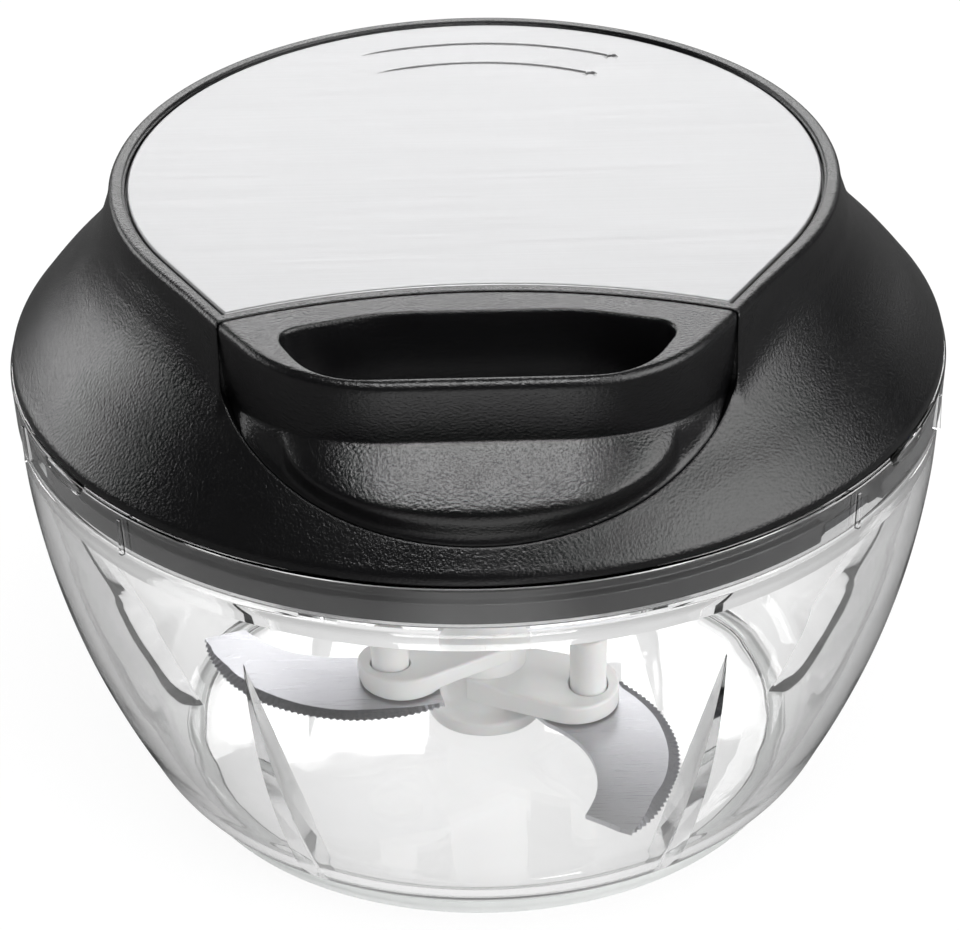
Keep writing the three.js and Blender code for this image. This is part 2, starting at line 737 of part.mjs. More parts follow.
function makeLidScrew(place) {
  const seat = base_bottom + screw_head_height / 2 - gap;
  const head = seat - screw_head_height;
  const top = base_top + screw_length;
  const body = revolve([
    [0, head], [screw_head_radius * 0.8, head], [screw_head_radius, head + screw_head_height / 2],
    [screw_head_radius, seat], [screw_radius, seat], [screw_radius, top - screw_radius], [0, top],
  ], small_steps / 2).translate([place.x, place.y, 0]);
  const slot = solid(new THREE.BoxGeometry(2 * screw_radius, screw_slot, screw_head_height)
    .translate(place.x, place.y, head));
  return cut(body, slot);
}

// Drum and what turns with it
function makeBush() {
  const inner = stub_radius + gap;
  const outer = inner + bush_wall;
  return revolve([
    [inner, base_bottom - collar_drop], [outer, base_bottom - collar_drop], [outer, bush_flange_z],
    [outer + bush_flange_reach, bush_flange_z], [outer + bush_flange_reach, bush_flange_z + bush_flange],
    [inner, bush_flange_z + bush_flange],
  ], small_steps);
}

function makeDrum() {
  const cap_seat = drum_flange_top - drum_cap_thickness;
  return revolve([
    [axle_bore, axle_bottom + gap], [stub_bore, axle_bottom + gap], [stub_bore, stub_bottom],
    [stub_radius, stub_bottom], [stub_radius, drum_bottom], [drum_flange_radius, drum_bottom],
    [drum_flange_radius, winding_base], [barrel_radius, winding_base],
    [barrel_radius, winding_base + winding_height], [drum_flange_radius, winding_base + winding_height],
    [drum_flange_radius, drum_flange_top], [barrel_bore + drum_cap_step, drum_flange_top],
    [barrel_bore + drum_cap_step, cap_seat], [barrel_bore, cap_seat],
    [barrel_bore, web_top], [axle_bore, web_top],
  ], round_steps / 2);
}

function makeDrumCap() {
  const radius = barrel_bore + drum_cap_step - gap;
  const bore = axle_bore + gap;
  const bottom = drum_flange_top - drum_cap_thickness + gap;
  const top = bottom + drum_cap_thickness;
  return revolve([[bore, bottom], [radius, bottom], [radius, top], [bore, top]], small_steps);
}

function makeMainspring() {
  const inner = arbor_radius + spring_end_gap;
  const outer = barrel_bore - spring_end_gap;
  const count = spring_turns * spring_steps;
  const face = (radius, i) => {
    const turn = (2 * Math.PI * i) / spring_steps;
    return new THREE.Vector2(radius * Math.cos(turn), radius * Math.sin(turn));
  };
  const radius = (i) => THREE.MathUtils.lerp(inner, outer - spring_thickness, i / count);
  const indexes = Array.from({ length: count + 1 }, (_, i) => i);
  const outline = [
    ...indexes.map((i) => face(radius(i), i)),
    ...indexes.toReversed().map((i) => face(radius(i) + spring_thickness, i)),
  ];
  const bottom = web_top + gap;
  return prism(new THREE.Shape(outline), bottom, bottom + spring_height);
}

function makeArbor() {
  const bottom = web_top + gap;
  const top = bottom + spring_height;
  return revolve([
    [axle_bore, bottom], [arbor_radius, bottom], [arbor_radius, top], [axle_bore, top],
  ], small_steps);
}

function makeAxle() {
  const edge = axle_radius / 4;
  return revolve([
    [0, axle_bottom], [axle_radius - edge, axle_bottom], [axle_radius, axle_bottom + edge],
    [axle_radius, axle_top - edge], [axle_radius - edge, axle_top], [0, axle_top],
  ], small_steps);
}

function makeDriveSocket() {
  const body = rod(stub_bore - gap, socket_bottom, socket_top);
  return cut(body, hexagon(hex_socket_radius, socket_bottom - overrun, socket_bottom + socket_depth, 0));
}

// Cord: wound on the drum, led to the eyelet, and through the plug in the handle
const lead_azimuth = -90 - THREE.MathUtils.radToDeg(Math.acos(drum_pitch_radius / pocket_inner_wall));
const winding_bottom = winding_base + (winding_play + cord_diameter) / 2;
const windingPoint = (turn) => at(drum_pitch_radius, lead_azimuth + 360 * (turn - winding_turns),
  winding_bottom + turn * winding_pitch);

class Winding extends THREE.Curve {
  getPoint(share) {
    return windingPoint(share * winding_turns);
  }
}

function cordShape() {
  const shape = new THREE.Shape();
  const radius = cord_diameter / 2;
  const corners = Array.from({ length: cord_sides }, (_, i) => at(radius, ((i + 0.5) * 360) / cord_sides));
  shape.setFromPoints(corners.map((p) => new THREE.Vector2(p.x, p.y)));
  return shape;
}

const cordAlong = (curve, steps) => solid(
  new THREE.ExtrudeGeometry(cordShape(), { extrudePath: curve, steps, bevelEnabled: false }));

function leastWindingGap() {
  let least = Infinity;
  const count = Math.round(winding_turns * winding_steps);
  const places = Array.from({ length: count + 1 }, (_, i) => windingPoint((i * winding_turns) / count));
  places.forEach((p, i) => {
    for (let k = i + winding_steps / 2; k <= count; k += 1) least = Math.min(least, p.distanceTo(places[k]));
  });
  return least - cord_diameter;
}

const makeWinding = () => cordAlong(new Winding(), Math.round(winding_turns * winding_steps));

function makeCordLead() {
  const end = windingPoint(winding_turns);
  const mouth = new THREE.Vector3(0, -pocket_inner_wall + eyelet_flange + cord_diameter, cord_z);
  const clear_radius = drum_pitch_radius + cord_diameter + running_gap;
  const clear_length = Math.sqrt(clear_radius ** 2 - drum_pitch_radius ** 2);
  const start = end.clone().addScaledVector(mouth.clone().sub(end).normalize(), clear_length);
  const inside = new THREE.Vector3(0, -pocket_inner_wall - gap, cord_z);
  const out = new THREE.Vector3(0, -pocket_back + gap, cord_z);
  const middle = start.clone().lerp(mouth, 1 / 2);
  middle.z = THREE.MathUtils.lerp(start.z, mouth.z, lead_drop_share);
  const curve = new THREE.CatmullRomCurve3([start, middle, mouth, inside, out], false, 'centripetal');
  return cordAlong(curve, 12);
}

function makePullCord() {
  const start = -pocket_back;
  const end = -pocket_back - running_gap - plug_length - knot_radius / 2;
  return rodAlongY(cord_diameter / 2, end, start, cord_z, cord_sides + 2);
}

function makeKnot() {
  const back = -pocket_back - running_gap - plug_length - knot_radius / 2 - gap;
  const knot = new THREE.SphereGeometry(knot_radius, small_steps / 2, small_steps / 4).scale(1, 2 / 3, 1);
  return solid(knot.translate(0, back - (knot_radius * 2) / 3, cord_z));
}

function makeEyelet() {
  const inner = cord_bore / 2;
  const outer = inner + eyelet_wall;
  const front = pocket_back - gap;
  const back = pocket_inner_wall - gap;
  const body = revolve([
    [inner, -front], [outer, -front], [outer, -back], [eyelet_flange_radius, -back],
    [eyelet_flange_radius, -back + eyelet_flange], [inner + gap, -back + eyelet_flange], [inner, -back],
  ], small_steps / 2);
  return body.rotate([-90, 0, 0]).translate([0, 0, cord_z]);
}

function makeCordPlug() {
  const front = -pocket_back - running_gap - gap;
  const back = front - plug_length + gap;
  const bore = rodAlongY(cord_bore / 2, back - overrun, front + overrun, cord_z, small_steps / 2);
  return cut(rodAlongY(plug_radius, back, front, cord_z), bore);
}

// Handle
function gripOutline() {
  return roundedShape([
    [-grip_corner_half_width, -grip_corner_y], [-grip_bend_half_width, -grip_front, grip_bend_radius],
    [grip_bend_half_width, -grip_front, grip_bend_radius], [grip_corner_half_width, -grip_corner_y],
    [grip_corner_half_width, 0], [-grip_corner_half_width, 0],
  ]);
}

// The grip: its front wall leans out from the lower edge to the rounded edge of the top.
function gripBody() {
  const outline = gripOutline().getPoints(small_steps / 2).slice(0, -1);
  const top = top_z - gap / 2;
  return loft([[crease_z, grip_draft], [top - grip_bevel, 0], [top, grip_bevel]].map(([z, draw]) => (
    outline.map((p) => new THREE.Vector3(p.x, p.y * (1 - draw / grip_front), z)))));
}

function fingerPocket() {
  const outline = roundedShape([
    [-finger_half_width, -finger_corner_y, finger_depth / 3],
    [-finger_front_half_width, -finger_front, finger_front_radius],
    [finger_front_half_width, -finger_front, finger_front_radius],
    [finger_half_width, -finger_corner_y, finger_depth / 3],
    [finger_back_half_width, -finger_back, finger_half_width],
    [-finger_back_half_width, -finger_back, finger_half_width],
  ]).getPoints(curve_steps).slice(0, -1);
  const levels = [[-overrun / finger_depth, 1, 1], ...finger_level_shares];
  return loft(levels.map(([depth, wide, long]) => outline.map((p) => {
    const y = -finger_back + (p.y + finger_back) * long - finger_back_draft * depth;
    return new THREE.Vector3(p.x * wide, y, top_z - depth * finger_depth);
  })));
}

// The scoop under the grip: half ellipses side by side, which follow the flank of the lid.
function scoopBody() {
  const rings = Array.from({ length: scoop_steps + 1 }, (_, i) => {
    const share = scoop_end_share * Math.sin(Math.PI * (i / scoop_steps - 1 / 2));
    const round = (1 - Math.abs(share) ** scoop_squareness) ** (1 / scoop_squareness);
    const x = share * scoop_half_width;
    const depth = scoop_height * round;
    const middle = -Math.sqrt(radiusAt(flank, crease_z - depth) ** 2 - x ** 2) - scoop_lead * round;
    const reach = scoop_depth * round ** scoop_taper;
    return Array.from({ length: small_steps / 2 + 1 }, (_, k) => {
      const turn = Math.PI * (1 + (2 * k) / small_steps);
      return new THREE.Vector3(x, middle + reach * Math.cos(turn), crease_z + depth * Math.sin(turn));
    });
  });
  return loft(rings);
}

function makeHandle() {
  const side_gap = running_gap;
  const along = pocketBody(-side_gap, pocket_back + side_gap);
  const flank_body = revolve([[0, pocket_bottom - overrun], ...flank, [0, neck_z]]);
  const below = solid(new THREE.BoxGeometry(4 * bowl_radius, 4 * bowl_radius, pocket_depth * 2)
    .translate(0, 0, crease_z - pocket_depth));
  const blank = along.intersect(join(gripBody(), flank_body.intersect(below)));
  const anchor_bore = rodAlongY(plug_radius + gap,
    -pocket_back - running_gap - plug_length - knot_chamber, -pocket_inner_wall, cord_z);
  return cut(blank, fingerPocket(), scoopBody(), anchor_bore);
}

// Blade unit
const arms = ['lower', 'middle', 'upper'].map((level, i) => ({
  level, azimuth: arm_azimuth - (i * 360) / arm_count, z: hub_bottom + first_arm_height + i * arm_rise,
}));

function armBody({ azimuth, z }) {
  const shape = new THREE.Shape();
  shape.moveTo(0, -arm_half_width);
  shape.lineTo(arm_end, -arm_half_width);
  shape.absarc(arm_end, 0, arm_half_width, -Math.PI / 2, Math.PI / 2, false);
  shape.lineTo(0, arm_half_width);
  shape.closePath();
  return prism(shape, z, z + arm_thickness, small_steps / 4).rotate([0, 0, azimuth]);
}

function makeBladeHub() {
  const foot_top = hub_bottom + hub_foot_height;
  const column = revolve([
    [0, hub_bottom], [hub_foot_radius - gap, hub_bottom], [hub_foot_radius, hub_bottom + gap],
    [hub_foot_radius, foot_top - gap], [column_radius + gap, foot_top + gap],
    [column_radius, foot_top + 2 * gap],
    [column_top_radius, hub_top - gap], [column_top_radius - gap, hub_top], [0, hub_top],
  ], small_steps);
  const plug = hexagon(hex_plug_radius, hub_top - overrun, plug_top, hex_offset);
  const holes = arms.map(({ azimuth, z }) => rod(
    post_bore, z - overrun, z + arm_thickness + overrun, at(post_circle, azimuth)));
  const bore = rod(hub_bore, hub_bottom - overrun, pin_top + gap);
  return cut(join(column, ...arms.map(armBody), plug), bore, ...holes);
}

function bladeOutline() {
  const [edge_x, edge_y] = blade_edge_centre_share.map((share) => share * bowl_radius);
  const [back_x, back_y] = blade_back_centre_share.map((share) => share * bowl_radius);
  const edge_radius = blade_edge_share * bowl_radius;
  const back_radius = blade_back_share * bowl_radius;
  const points = [];
  for (let i = 0; i <= 2 * tooth_count; i += 1) {
    const turn = radians(THREE.MathUtils.lerp(blade_tip_angle, blade_heel_angle, i / (2 * tooth_count)));
    const radius = edge_radius - (i % 2) * tooth_depth;
    points.push([edge_x + radius * Math.cos(turn), edge_y + radius * Math.sin(turn)]);
  }
  points.push([blade_root, -blade_root / 2]);
  const back_count = small_steps / 2;
  for (let i = 0; i <= back_count; i += 1) {
    const turn = radians(THREE.MathUtils.lerp(blade_back_heel_angle, blade_back_tip_angle, i / back_count));
    points.push([back_x + back_radius * Math.cos(turn), back_y + back_radius * Math.sin(turn)]);
  }
  return new THREE.Shape(points2(points));
}

function makeBlade({ azimuth, z }) {
  const top = z - gap;
  const body = prism(bladeOutline(), top - blade_thickness, top);
  const hole = rod(post_bore, top - blade_thickness - overrun, top + overrun, at(post_circle, 0));
  return cut(body, hole).rotate([0, 0, azimuth]);
}

function makePost({ azimuth, z }) {
  const seat = z - gap - blade_thickness - gap;
  const top = z + arm_thickness + post_height;
  const edge = post_radius / 5;
  const place = at(post_circle, azimuth);
  return revolve([
    [0, seat - post_head_height], [post_head_radius - edge, seat - post_head_height],
    [post_head_radius, seat - post_head_height + edge], [post_head_radius, seat], [post_radius, seat],
    [post_radius, top - edge], [post_radius - edge, top], [0, top],
  ], small_steps / 2).translate([place.x, place.y, 0]);
}

// Finishes
const finish = (color, roughness, metalness = 0, more = {}) => ({ color, roughness, metalness, ...more });
const clear_plastic = finish('#f4f7f8', 0.06, 0, { transparent: true, opacity: 0.35 });
const soft_foot = finish('#e4e6e4', 0.55, 0, { transparent: true, opacity: 0.7 });
const black_plastic = finish('#17171a', 0.45);
const white_plastic = finish('#f3f3f1', 0.4);
const brushed_steel = finish('#d4d6d8', 0.32, 1);
const blade_steel = finish('#b9bcbf', 0.25, 1);
const spring_steel = finish('#6f7478', 0.35, 1);
const grey_plastic = finish('#8e9296', 0.5);
const silicone = finish('#26272a', 0.7);
const zinc_steel = finish('#a9adb0', 0.4, 1);
const braid = finish('#ececea', 0.85);

const chopper = new THREE.Group();

function add(name, body, look) {
  const mesh = new THREE.Mesh(toGeometry(body), new THREE.MeshStandardMaterial(look));
  mesh.name = name;
  chopper.add(mesh);
}

add('bowl', makeBowl(), clear_plastic);
add('foot_ring', makeFootRing(), soft_foot);
add('spindle_pin', makeSpindlePin(), zinc_steel);
add('lid_seal', makeLidSeal(), silicone);
add('cover_shell', makeCover(), black_plastic);
add('top_plate', makeTopPlate(), brushed_steel);
add('lid_base', makeLidBase(), black_plastic);
screwPlaces.forEach((place, i) => add(`lid_screw_${i + 1}`, makeLidScrew(place), zinc_steel));
add('drum_bush', makeBush(), grey_plastic);
add('drum_axle', makeAxle(), zinc_steel);
add('spring_arbor', makeArbor(), grey_plastic);
add('cord_eyelet', makeEyelet(), grey_plastic);
add('cord_lead', makeCordLead(), braid);
add('cord_drum', makeDrum(), white_plastic);
add('drum_cap', makeDrumCap(), grey_plastic);
add('mainspring', makeMainspring(), spring_steel);
add('drive_socket', makeDriveSocket(), grey_plastic);
add('cord_winding', makeWinding(), braid);
add('handle', makeHandle(), black_plastic);
add('cord_plug', makeCordPlug(), grey_plastic);
add('cord_knot', makeKnot(), braid);
add('pull_cord', makePullCord(), braid);
add('blade_hub', makeBladeHub(), white_plastic);
arms.forEach((arm) => {
  add(`${arm.level}_blade`, makeBlade(arm), blade_steel);
  add(`${arm.level}_post`, makePost(arm), white_plastic);
});

console.log(`least gap between turns of the winding: ${leastWindingGap().toFixed(2)} mm`);

export default chopper;
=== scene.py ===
"""Looks of a pull-cord food chopper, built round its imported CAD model.

Sizes are in millimetres until a mesh is made, which turns them into metres. Every place is in the
frame of the CAD model: the origin is under the middle of the foot, +Z is up, and the handle is at
the front, towards -Y.
"""

import logging
import math
from collections.abc import Sequence
from dataclasses import dataclass, field
from enum import Enum

import bpy
import numpy as np
from mathutils import Matrix, Vector


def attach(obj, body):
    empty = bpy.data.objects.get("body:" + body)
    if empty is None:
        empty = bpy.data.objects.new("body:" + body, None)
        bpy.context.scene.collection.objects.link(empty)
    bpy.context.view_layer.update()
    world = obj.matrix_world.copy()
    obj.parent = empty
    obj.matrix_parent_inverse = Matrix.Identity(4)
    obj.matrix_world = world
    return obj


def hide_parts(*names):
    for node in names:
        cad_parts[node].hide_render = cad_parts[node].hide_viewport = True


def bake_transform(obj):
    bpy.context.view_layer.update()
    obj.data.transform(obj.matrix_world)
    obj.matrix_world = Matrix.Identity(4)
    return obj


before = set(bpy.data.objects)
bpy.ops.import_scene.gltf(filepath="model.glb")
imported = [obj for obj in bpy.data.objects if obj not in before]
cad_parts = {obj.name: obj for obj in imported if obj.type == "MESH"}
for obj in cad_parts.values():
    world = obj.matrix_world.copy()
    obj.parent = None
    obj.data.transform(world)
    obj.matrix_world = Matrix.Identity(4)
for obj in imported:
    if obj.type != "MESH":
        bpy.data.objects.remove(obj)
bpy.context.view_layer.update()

MM = 0.001
FULL_TURN = 360.0
ROUND = 192  # stretches round the bowl and the lid
FINE_ROUND = 768  # stretches round the lid's upper edge
SMALL = 48  # stretches round a pin
TINY = 1e-6
FINE_EDGE = 0.2  # the radius of an edge that was left nearly sharp
SOFT_EDGE = 0.4  # the radius of an edge that was eased
ROUND_EDGE = 0.6  # the radius of an edge that a hand or food meets
GAP = 0.3  # between pieces that are fixed together
RUNNING_GAP = 0.4  # between pieces that move past each other
OVERRUN = 1.0  # how far a cutting body reaches past what it cuts
Pair = tuple[float, float]
Triple = tuple[float, float, float]
LOG = logging.getLogger("chopper")


class Body(Enum):
    """The bodies of the CAD model that pieces ride on."""

    BOWL = "bowl"
    SEAL = "seal"
    LID = "lid"
    DRUM = "drum"
    HANDLE = "handle"
    BLADES = "blade_unit"


class Operation(Enum):
    """How one body is combined with others."""

    JOIN = "UNION"
    CUT = "DIFFERENCE"
    COMMON = "INTERSECT"


# Forms


@dataclass
class Form:
    """A closed body in millimetres.

    Args:
        points: One row of x, y and z for each point.
        faces: The indexes of each face's points, anticlockwise seen from outside.
    """

    points: np.ndarray
    faces: list[tuple[int, ...]]

    def moved(self, x: float = 0, y: float = 0, z: float = 0) -> "Form":
        """Returns the body moved along the axes."""
        return Form(self.points + np.array([x, y, z]), self.faces)

    def turned(self, degrees: float, axis: str = "Z") -> "Form":
        """Returns the body turned about an axis through the origin."""
        turn = np.array(Matrix.Rotation(math.radians(degrees), 3, axis))
        return Form(self.points @ turn.T, self.faces)

    def outward(self) -> "Form":
        """Returns the body with every face turned to the outside."""
        p = self.points
        volume = sum(
            np.dot(p[f[0]], np.cross(p[f[i]], p[f[i + 1]]))
            for f in self.faces
            for i in range(1, len(f) - 1)
        )
        return self if volume > 0 else Form(p, [f[::-1] for f in self.faces])

    def combined(self, operation: Operation, *others: "Form") -> "Form":
        """Joins, cuts or intersects the body with others.

        Args:
            operation: What is done to this body.
            others: The bodies that it is done with, clear of each other.

        Returns:
            The new body.
        """
        base, tool = new_object("base", self), new_object("tool", gathered(others))
        modifier = base.modifiers.new("combine", "BOOLEAN")
        modifier.operation = operation.value
        modifier.solver = "MANIFOLD"
        modifier.object = tool
        evaluated = base.evaluated_get(bpy.context.evaluated_depsgraph_get())
        mesh = evaluated.to_mesh()
        points = np.empty(len(mesh.vertices) * 3)
        mesh.vertices.foreach_get("co", points)
        faces = [tuple(p.vertices) for p in mesh.polygons]
        evaluated.to_mesh_clear()
        for obj in (base, tool):
            data = obj.data
            bpy.data.objects.remove(obj)
            bpy.data.meshes.remove(data)
        if not faces:
            raise RuntimeError(f"{operation.name} left nothing")
        return Form(points.reshape(-1, 3) / MM, faces)

    def join(self, *others: "Form") -> "Form":
        """Returns the body joined with others."""
        return self.combined(Operation.JOIN, *others)

    def cut(self, *others: "Form") -> "Form":
        """Returns the body with others cut out of it."""
        return self.combined(Operation.CUT, *others)

    def common(self, other: "Form") -> "Form":
        """Returns what the body shares with another."""
        return self.combined(Operation.COMMON, other)


def new_object(name: str, form: Form) -> bpy.types.Object:
    """Makes an object in the scene from a body.

    Args:
        name: The object's name.
        form: The body, in millimetres.

    Returns:
        The object, in metres.
    """
    mesh = bpy.data.meshes.new(name)
    mesh.from_pydata((form.points * MM).tolist(), [], form.faces)
    mesh.update()
    obj = bpy.data.objects.new(name, mesh)
    bpy.context.scene.collection.objects.link(obj)
    return obj


def even_shading(obj: bpy.types.Object) -> None:
    """Lets the large faces of an object set the shading beside its rounded edges.

    Args:
        obj: The object.
    """
    modifier = obj.modifiers.new("large_faces_first", "WEIGHTED_NORMAL")
    modifier.keep_sharp = True
    evaluated = obj.evaluated_get(bpy.context.evaluated_depsgraph_get())
    before, obj.data = obj.data, bpy.data.meshes.new_from_object(evaluated)
    obj.modifiers.remove(modifier)
    obj.data.name = obj.name
    bpy.data.meshes.remove(before)


def gathered(forms: Sequence[Form]) -> Form:
    """Returns several bodies as one set of points and faces.

    Args:
        forms: The bodies.

    Returns:
        The points and faces of all.
    """
    points, faces, start = [], [], 0
    for form in forms:
        points.append(form.points)
        faces += [tuple(i + start for i in face) for face in form.faces]
        start += len(form.points)
    return Form(np.vstack(points), faces)


def on_circle(radius: float, degrees: float, z: float = 0) -> np.ndarray:
    """Returns the point at an azimuth on a circle round the Z axis."""
    turn = math.radians(degrees)
    return np.array([radius * math.cos(turn), radius * math.sin(turn), z])


def around(count: int, first: float) -> list[float]:
    """Returns equally spaced azimuths in degrees."""
    return [first + i * FULL_TURN / count for i in range(count)]


def spline(points: Sequence[Sequence[float]], steps: int) -> np.ndarray:
    """Runs a smooth curve through points without overshooting between them.

    Args:
        points: The points that it passes through.
        steps: The number of stretches from each point to the next.

    Returns:
        Points along the curve.
    """
    p = np.asarray(points, float)
    p = np.vstack([2 * p[0] - p[1], p, 2 * p[-1] - p[-2]])
    knots = np.linalg.norm(np.diff(p, axis=0), axis=1) ** 0.5
    result = []
    for i in range(1, len(p) - 2):
        a, b, c = knots[i - 1 : i + 2]
        leave = (p[i] - p[i - 1]) / a - (p[i + 1] - p[i - 1]) / (a + b) + (p[i + 1] - p[i]) / b
        arrive = (p[i + 1] - p[i]) / b - (p[i + 2] - p[i]) / (b + c) + (p[i + 2] - p[i + 1]) / c
        for t in np.arange(steps) / steps:
            rise = t * t * (3 - 2 * t)
            result.append(
                (1 - rise) * p[i] + rise * p[i + 1]
                + b * (t * (1 - t) ** 2 * leave - t * t * (1 - t) * arrive)
            )
    result.append(p[-2])
    return np.array(result)


def inset(profile: np.ndarray, distance: float) -> np.ndarray:
    """Returns a profile moved to its inner side by a distance.

    Args:
        profile: Its points, as radius and height from below up.
        distance: How far it moves.

    Returns:
        The moved points.
    """
    slope = np.gradient(profile, axis=0)
    slope *= distance / np.linalg.norm(slope, axis=1)[:, None]
    return profile + np.column_stack([-slope[:, 1], slope[:, 0]])


def radius_at(profile: np.ndarray, z: float) -> float:
    """Returns the radius at a height of a profile that only rises."""
    return float(np.interp(z, profile[:, 1], profile[:, 0]))


def rounded(corners: Sequence[Sequence[float]], steps: int = 6) -> np.ndarray:
    """Rounds the corners of a closed outline.

    Args:
        corners: Rows of x, y and, where the corner is round, its radius.
        steps: The number of stretches in each round corner.

    Returns:
        The points of the outline.
    """
    count, result = len(corners), []
    for i, corner in enumerate(corners):
        here = np.array(corner[:2], float)
        radius = corner[2] if len(corner) > 2 else 0
        if radius <= 0:
            result.append(here)
            continue
        back = np.array(corners[i - 1][:2], float) - here
        ahead = np.array(corners[(i + 1) % count][:2], float) - here
        size_back, size_ahead = np.linalg.norm(back), np.linalg.norm(ahead)
        cosine = np.clip(np.dot(back, ahead) / (size_back * size_ahead), -1, 1)
        beside = [len(corners[k % count]) > 2 and corners[k % count][2] > 0 for k in (i - 1, i + 1)]
        room = min(size / (2 if is_round else 1) for size, is_round in zip((size_back, size_ahead), beside))
        cutback = min(radius * math.tan((math.pi - math.acos(cosine)) / 2), room)
        start, end = here + back / size_back * cutback, here + ahead / size_ahead * cutback
        for t in np.arange(steps + 1) / steps:
            result.append((1 - t) ** 2 * start + 2 * t * (1 - t) * here + t * t * end)
    return np.array(result)


def drawn_in(outline: np.ndarray, distance: float) -> np.ndarray:
    """Returns a closed anticlockwise outline moved inwards by a distance.

    Args:
        outline: Its points, anticlockwise.
        distance: How far it moves, where less than nothing moves it outwards.

    Returns:
        The moved points.
    """
    along = np.roll(outline, -1, axis=0) - outline
    along /= np.maximum(np.linalg.norm(along, axis=1)[:, None], 1e-9)
    into = np.column_stack([-along[:, 1], along[:, 0]])
    both = into + np.roll(into, 1, axis=0)
    scale = 2 / np.maximum(np.sum(both * both, axis=1), 0.5)
    return outline + both * scale[:, None] * distance


def loft(rings: Sequence[np.ndarray]) -> Form:
    """Makes a closed body through rings of points that match one to one.

    Args:
        rings: The rings, from one end to the other.

    Returns:
        The body.
    """
    count = len(rings[0])
    faces: list[tuple[int, ...]] = []
    for r in range(len(rings) - 1):
        for i in range(count):
            a, b = r * count + i, r * count + (i + 1) % count
            faces.append((a, b, b + count, a + count))
    last = (len(rings) - 1) * count
    faces.append(tuple(range(count))[::-1])
    faces.append(tuple(range(last, last + count)))
    return Form(np.vstack(rings), faces).outward()


def at_height(outline: np.ndarray, z: float) -> np.ndarray:
    """Returns a flat outline as points at a height."""
    return np.column_stack([outline, np.full(len(outline), z)])


def prism(outline: np.ndarray, z0: float, z1: float, top: float = 0, bottom: float = 0, steps: int = 4) -> Form:
    """Makes an upright body with round edges.

    Args:
        outline: Its outline, anticlockwise.
        z0: Its lower end.
        z1: Its upper end.
        top: The radius of its upper edge.
        bottom: The radius of its lower edge.
        steps: The number of stretches in each round edge.

    Returns:
        The body.
    """
    rings = []
    for radius, z, side in ((bottom, z0, 1), (top, z1, -1)):
        turns = np.linspace(0, math.pi / 2, steps + 1) if radius else np.zeros(1)
        edge = [
            at_height(drawn_in(outline, radius * (1 - math.sin(t))), z + side * radius * (1 - math.cos(t)))
            for t in turns
        ]
        rings += edge if side > 0 else edge[::-1]
    return loft(rings)


def prism_along_y(outline: np.ndarray, y0: float, y1: float) -> Form:
    """Makes a body from an outline in X and Z, from y0 back to y1."""
    return prism(outline, -y1, -y0).turned(90, "X")


def radial_prism(outline: np.ndarray, r0: float, r1: float, azimuth: float) -> Form:
    """Makes a body from an outline drawn across the radius and up, between two radii.

    Args:
        outline: Its outline, as the way to the left and the height.
        r0: The inner radius.
        r1: The outer radius.
        azimuth: Where it stands, in degrees.

    Returns:
        The body.
    """
    form = loft([np.column_stack([np.full(len(outline), r), outline]) for r in (r0, r1)])
    return form.turned(azimuth)


def revolve(profile: Sequence[Sequence[float]], steps: int = ROUND) -> Form:
    """Turns a closed profile of radius and height about the Z axis.

    Args:
        profile: The points of the profile.
        steps: The number of stretches round the axis.

    Returns:
        The body.
    """
    turns = 2 * math.pi * np.arange(steps) / steps
    points: list[Triple] = []
    rings: list[list[int]] = []
    for r, z in profile:
        start = len(points)
        if r < TINY:
            points.append((0, 0, z))
            rings.append([start] * steps)
        else:
            points += [(r * math.cos(t), r * math.sin(t), z) for t in turns]
            rings.append(list(range(start, start + steps)))
    faces = []
    for low, high in zip(rings, rings[1:] + rings[:1]):
        for i in range(steps):
            k = (i + 1) % steps
            face = tuple(dict.fromkeys((low[i], low[k], high[k], high[i])))
            if len(face) > 2:
                faces.append(face)
    return Form(np.array(points), faces).outward()


def rod(radius: float, z0: float, z1: float, place: Sequence[float] = (0, 0), steps: int = SMALL) -> Form:
    """Makes an upright rod at a place."""
    return revolve([(0, z0), (radius, z0), (radius, z1), (0, z1)], steps).moved(place[0], place[1])


def rod_along_y(radius: float, y0: float, y1: float, z: float) -> Form:
    """Makes a rod that lies along Y at a height."""
    return rod(radius, -y1, -y0).turned(90, "X").moved(z=z)


def tube(path: np.ndarray, radius: float | np.ndarray, sides: int = 16) -> Form:
    """Makes a round body along a path.

    Args:
        path: The points along its middle.
        radius: Its radius, or one for each point.
        sides: The number of its sides.

    Returns:
        The body.
    """
    radii = np.broadcast_to(np.asarray(radius, float), len(path))
    ahead = np.gradient(path, axis=0)
    ahead /= np.linalg.norm(ahead, axis=1)[:, None]
    side = np.cross(ahead[0], [0.1, 0.2, 1.0])
    turns = 2 * math.pi * np.arange(sides) / sides
    rings = []
    for point, along, size in zip(path, ahead, radii):
        side = side - along * np.dot(side, along)
        side /= np.linalg.norm(side)
        up = np.cross(along, side)
        rings.append(point + size * (np.outer(np.cos(turns), side) + np.outer(np.sin(turns), up)))
    return loft(rings)


# Finishes

MOST = (0.3, 0.7)  # the span that noise mostly lies in


def linear(code: str) -> tuple[float, float, float, float]:
    """Turns a colour written as sRGB hex into the linear values that a shader takes.

    Args:
        code: The colour, as # and six digits.

    Returns:
        Red, green, blue and a full alpha.
    """
    parts = [int(code[i : i + 2], 16) / 255 for i in (1, 3, 5)]
    red, green, blue = (p / 12.92 if p <= 0.04045 else ((p + 0.055) / 1.055) ** 2.4 for p in parts)
    return (red, green, blue, 1.0)


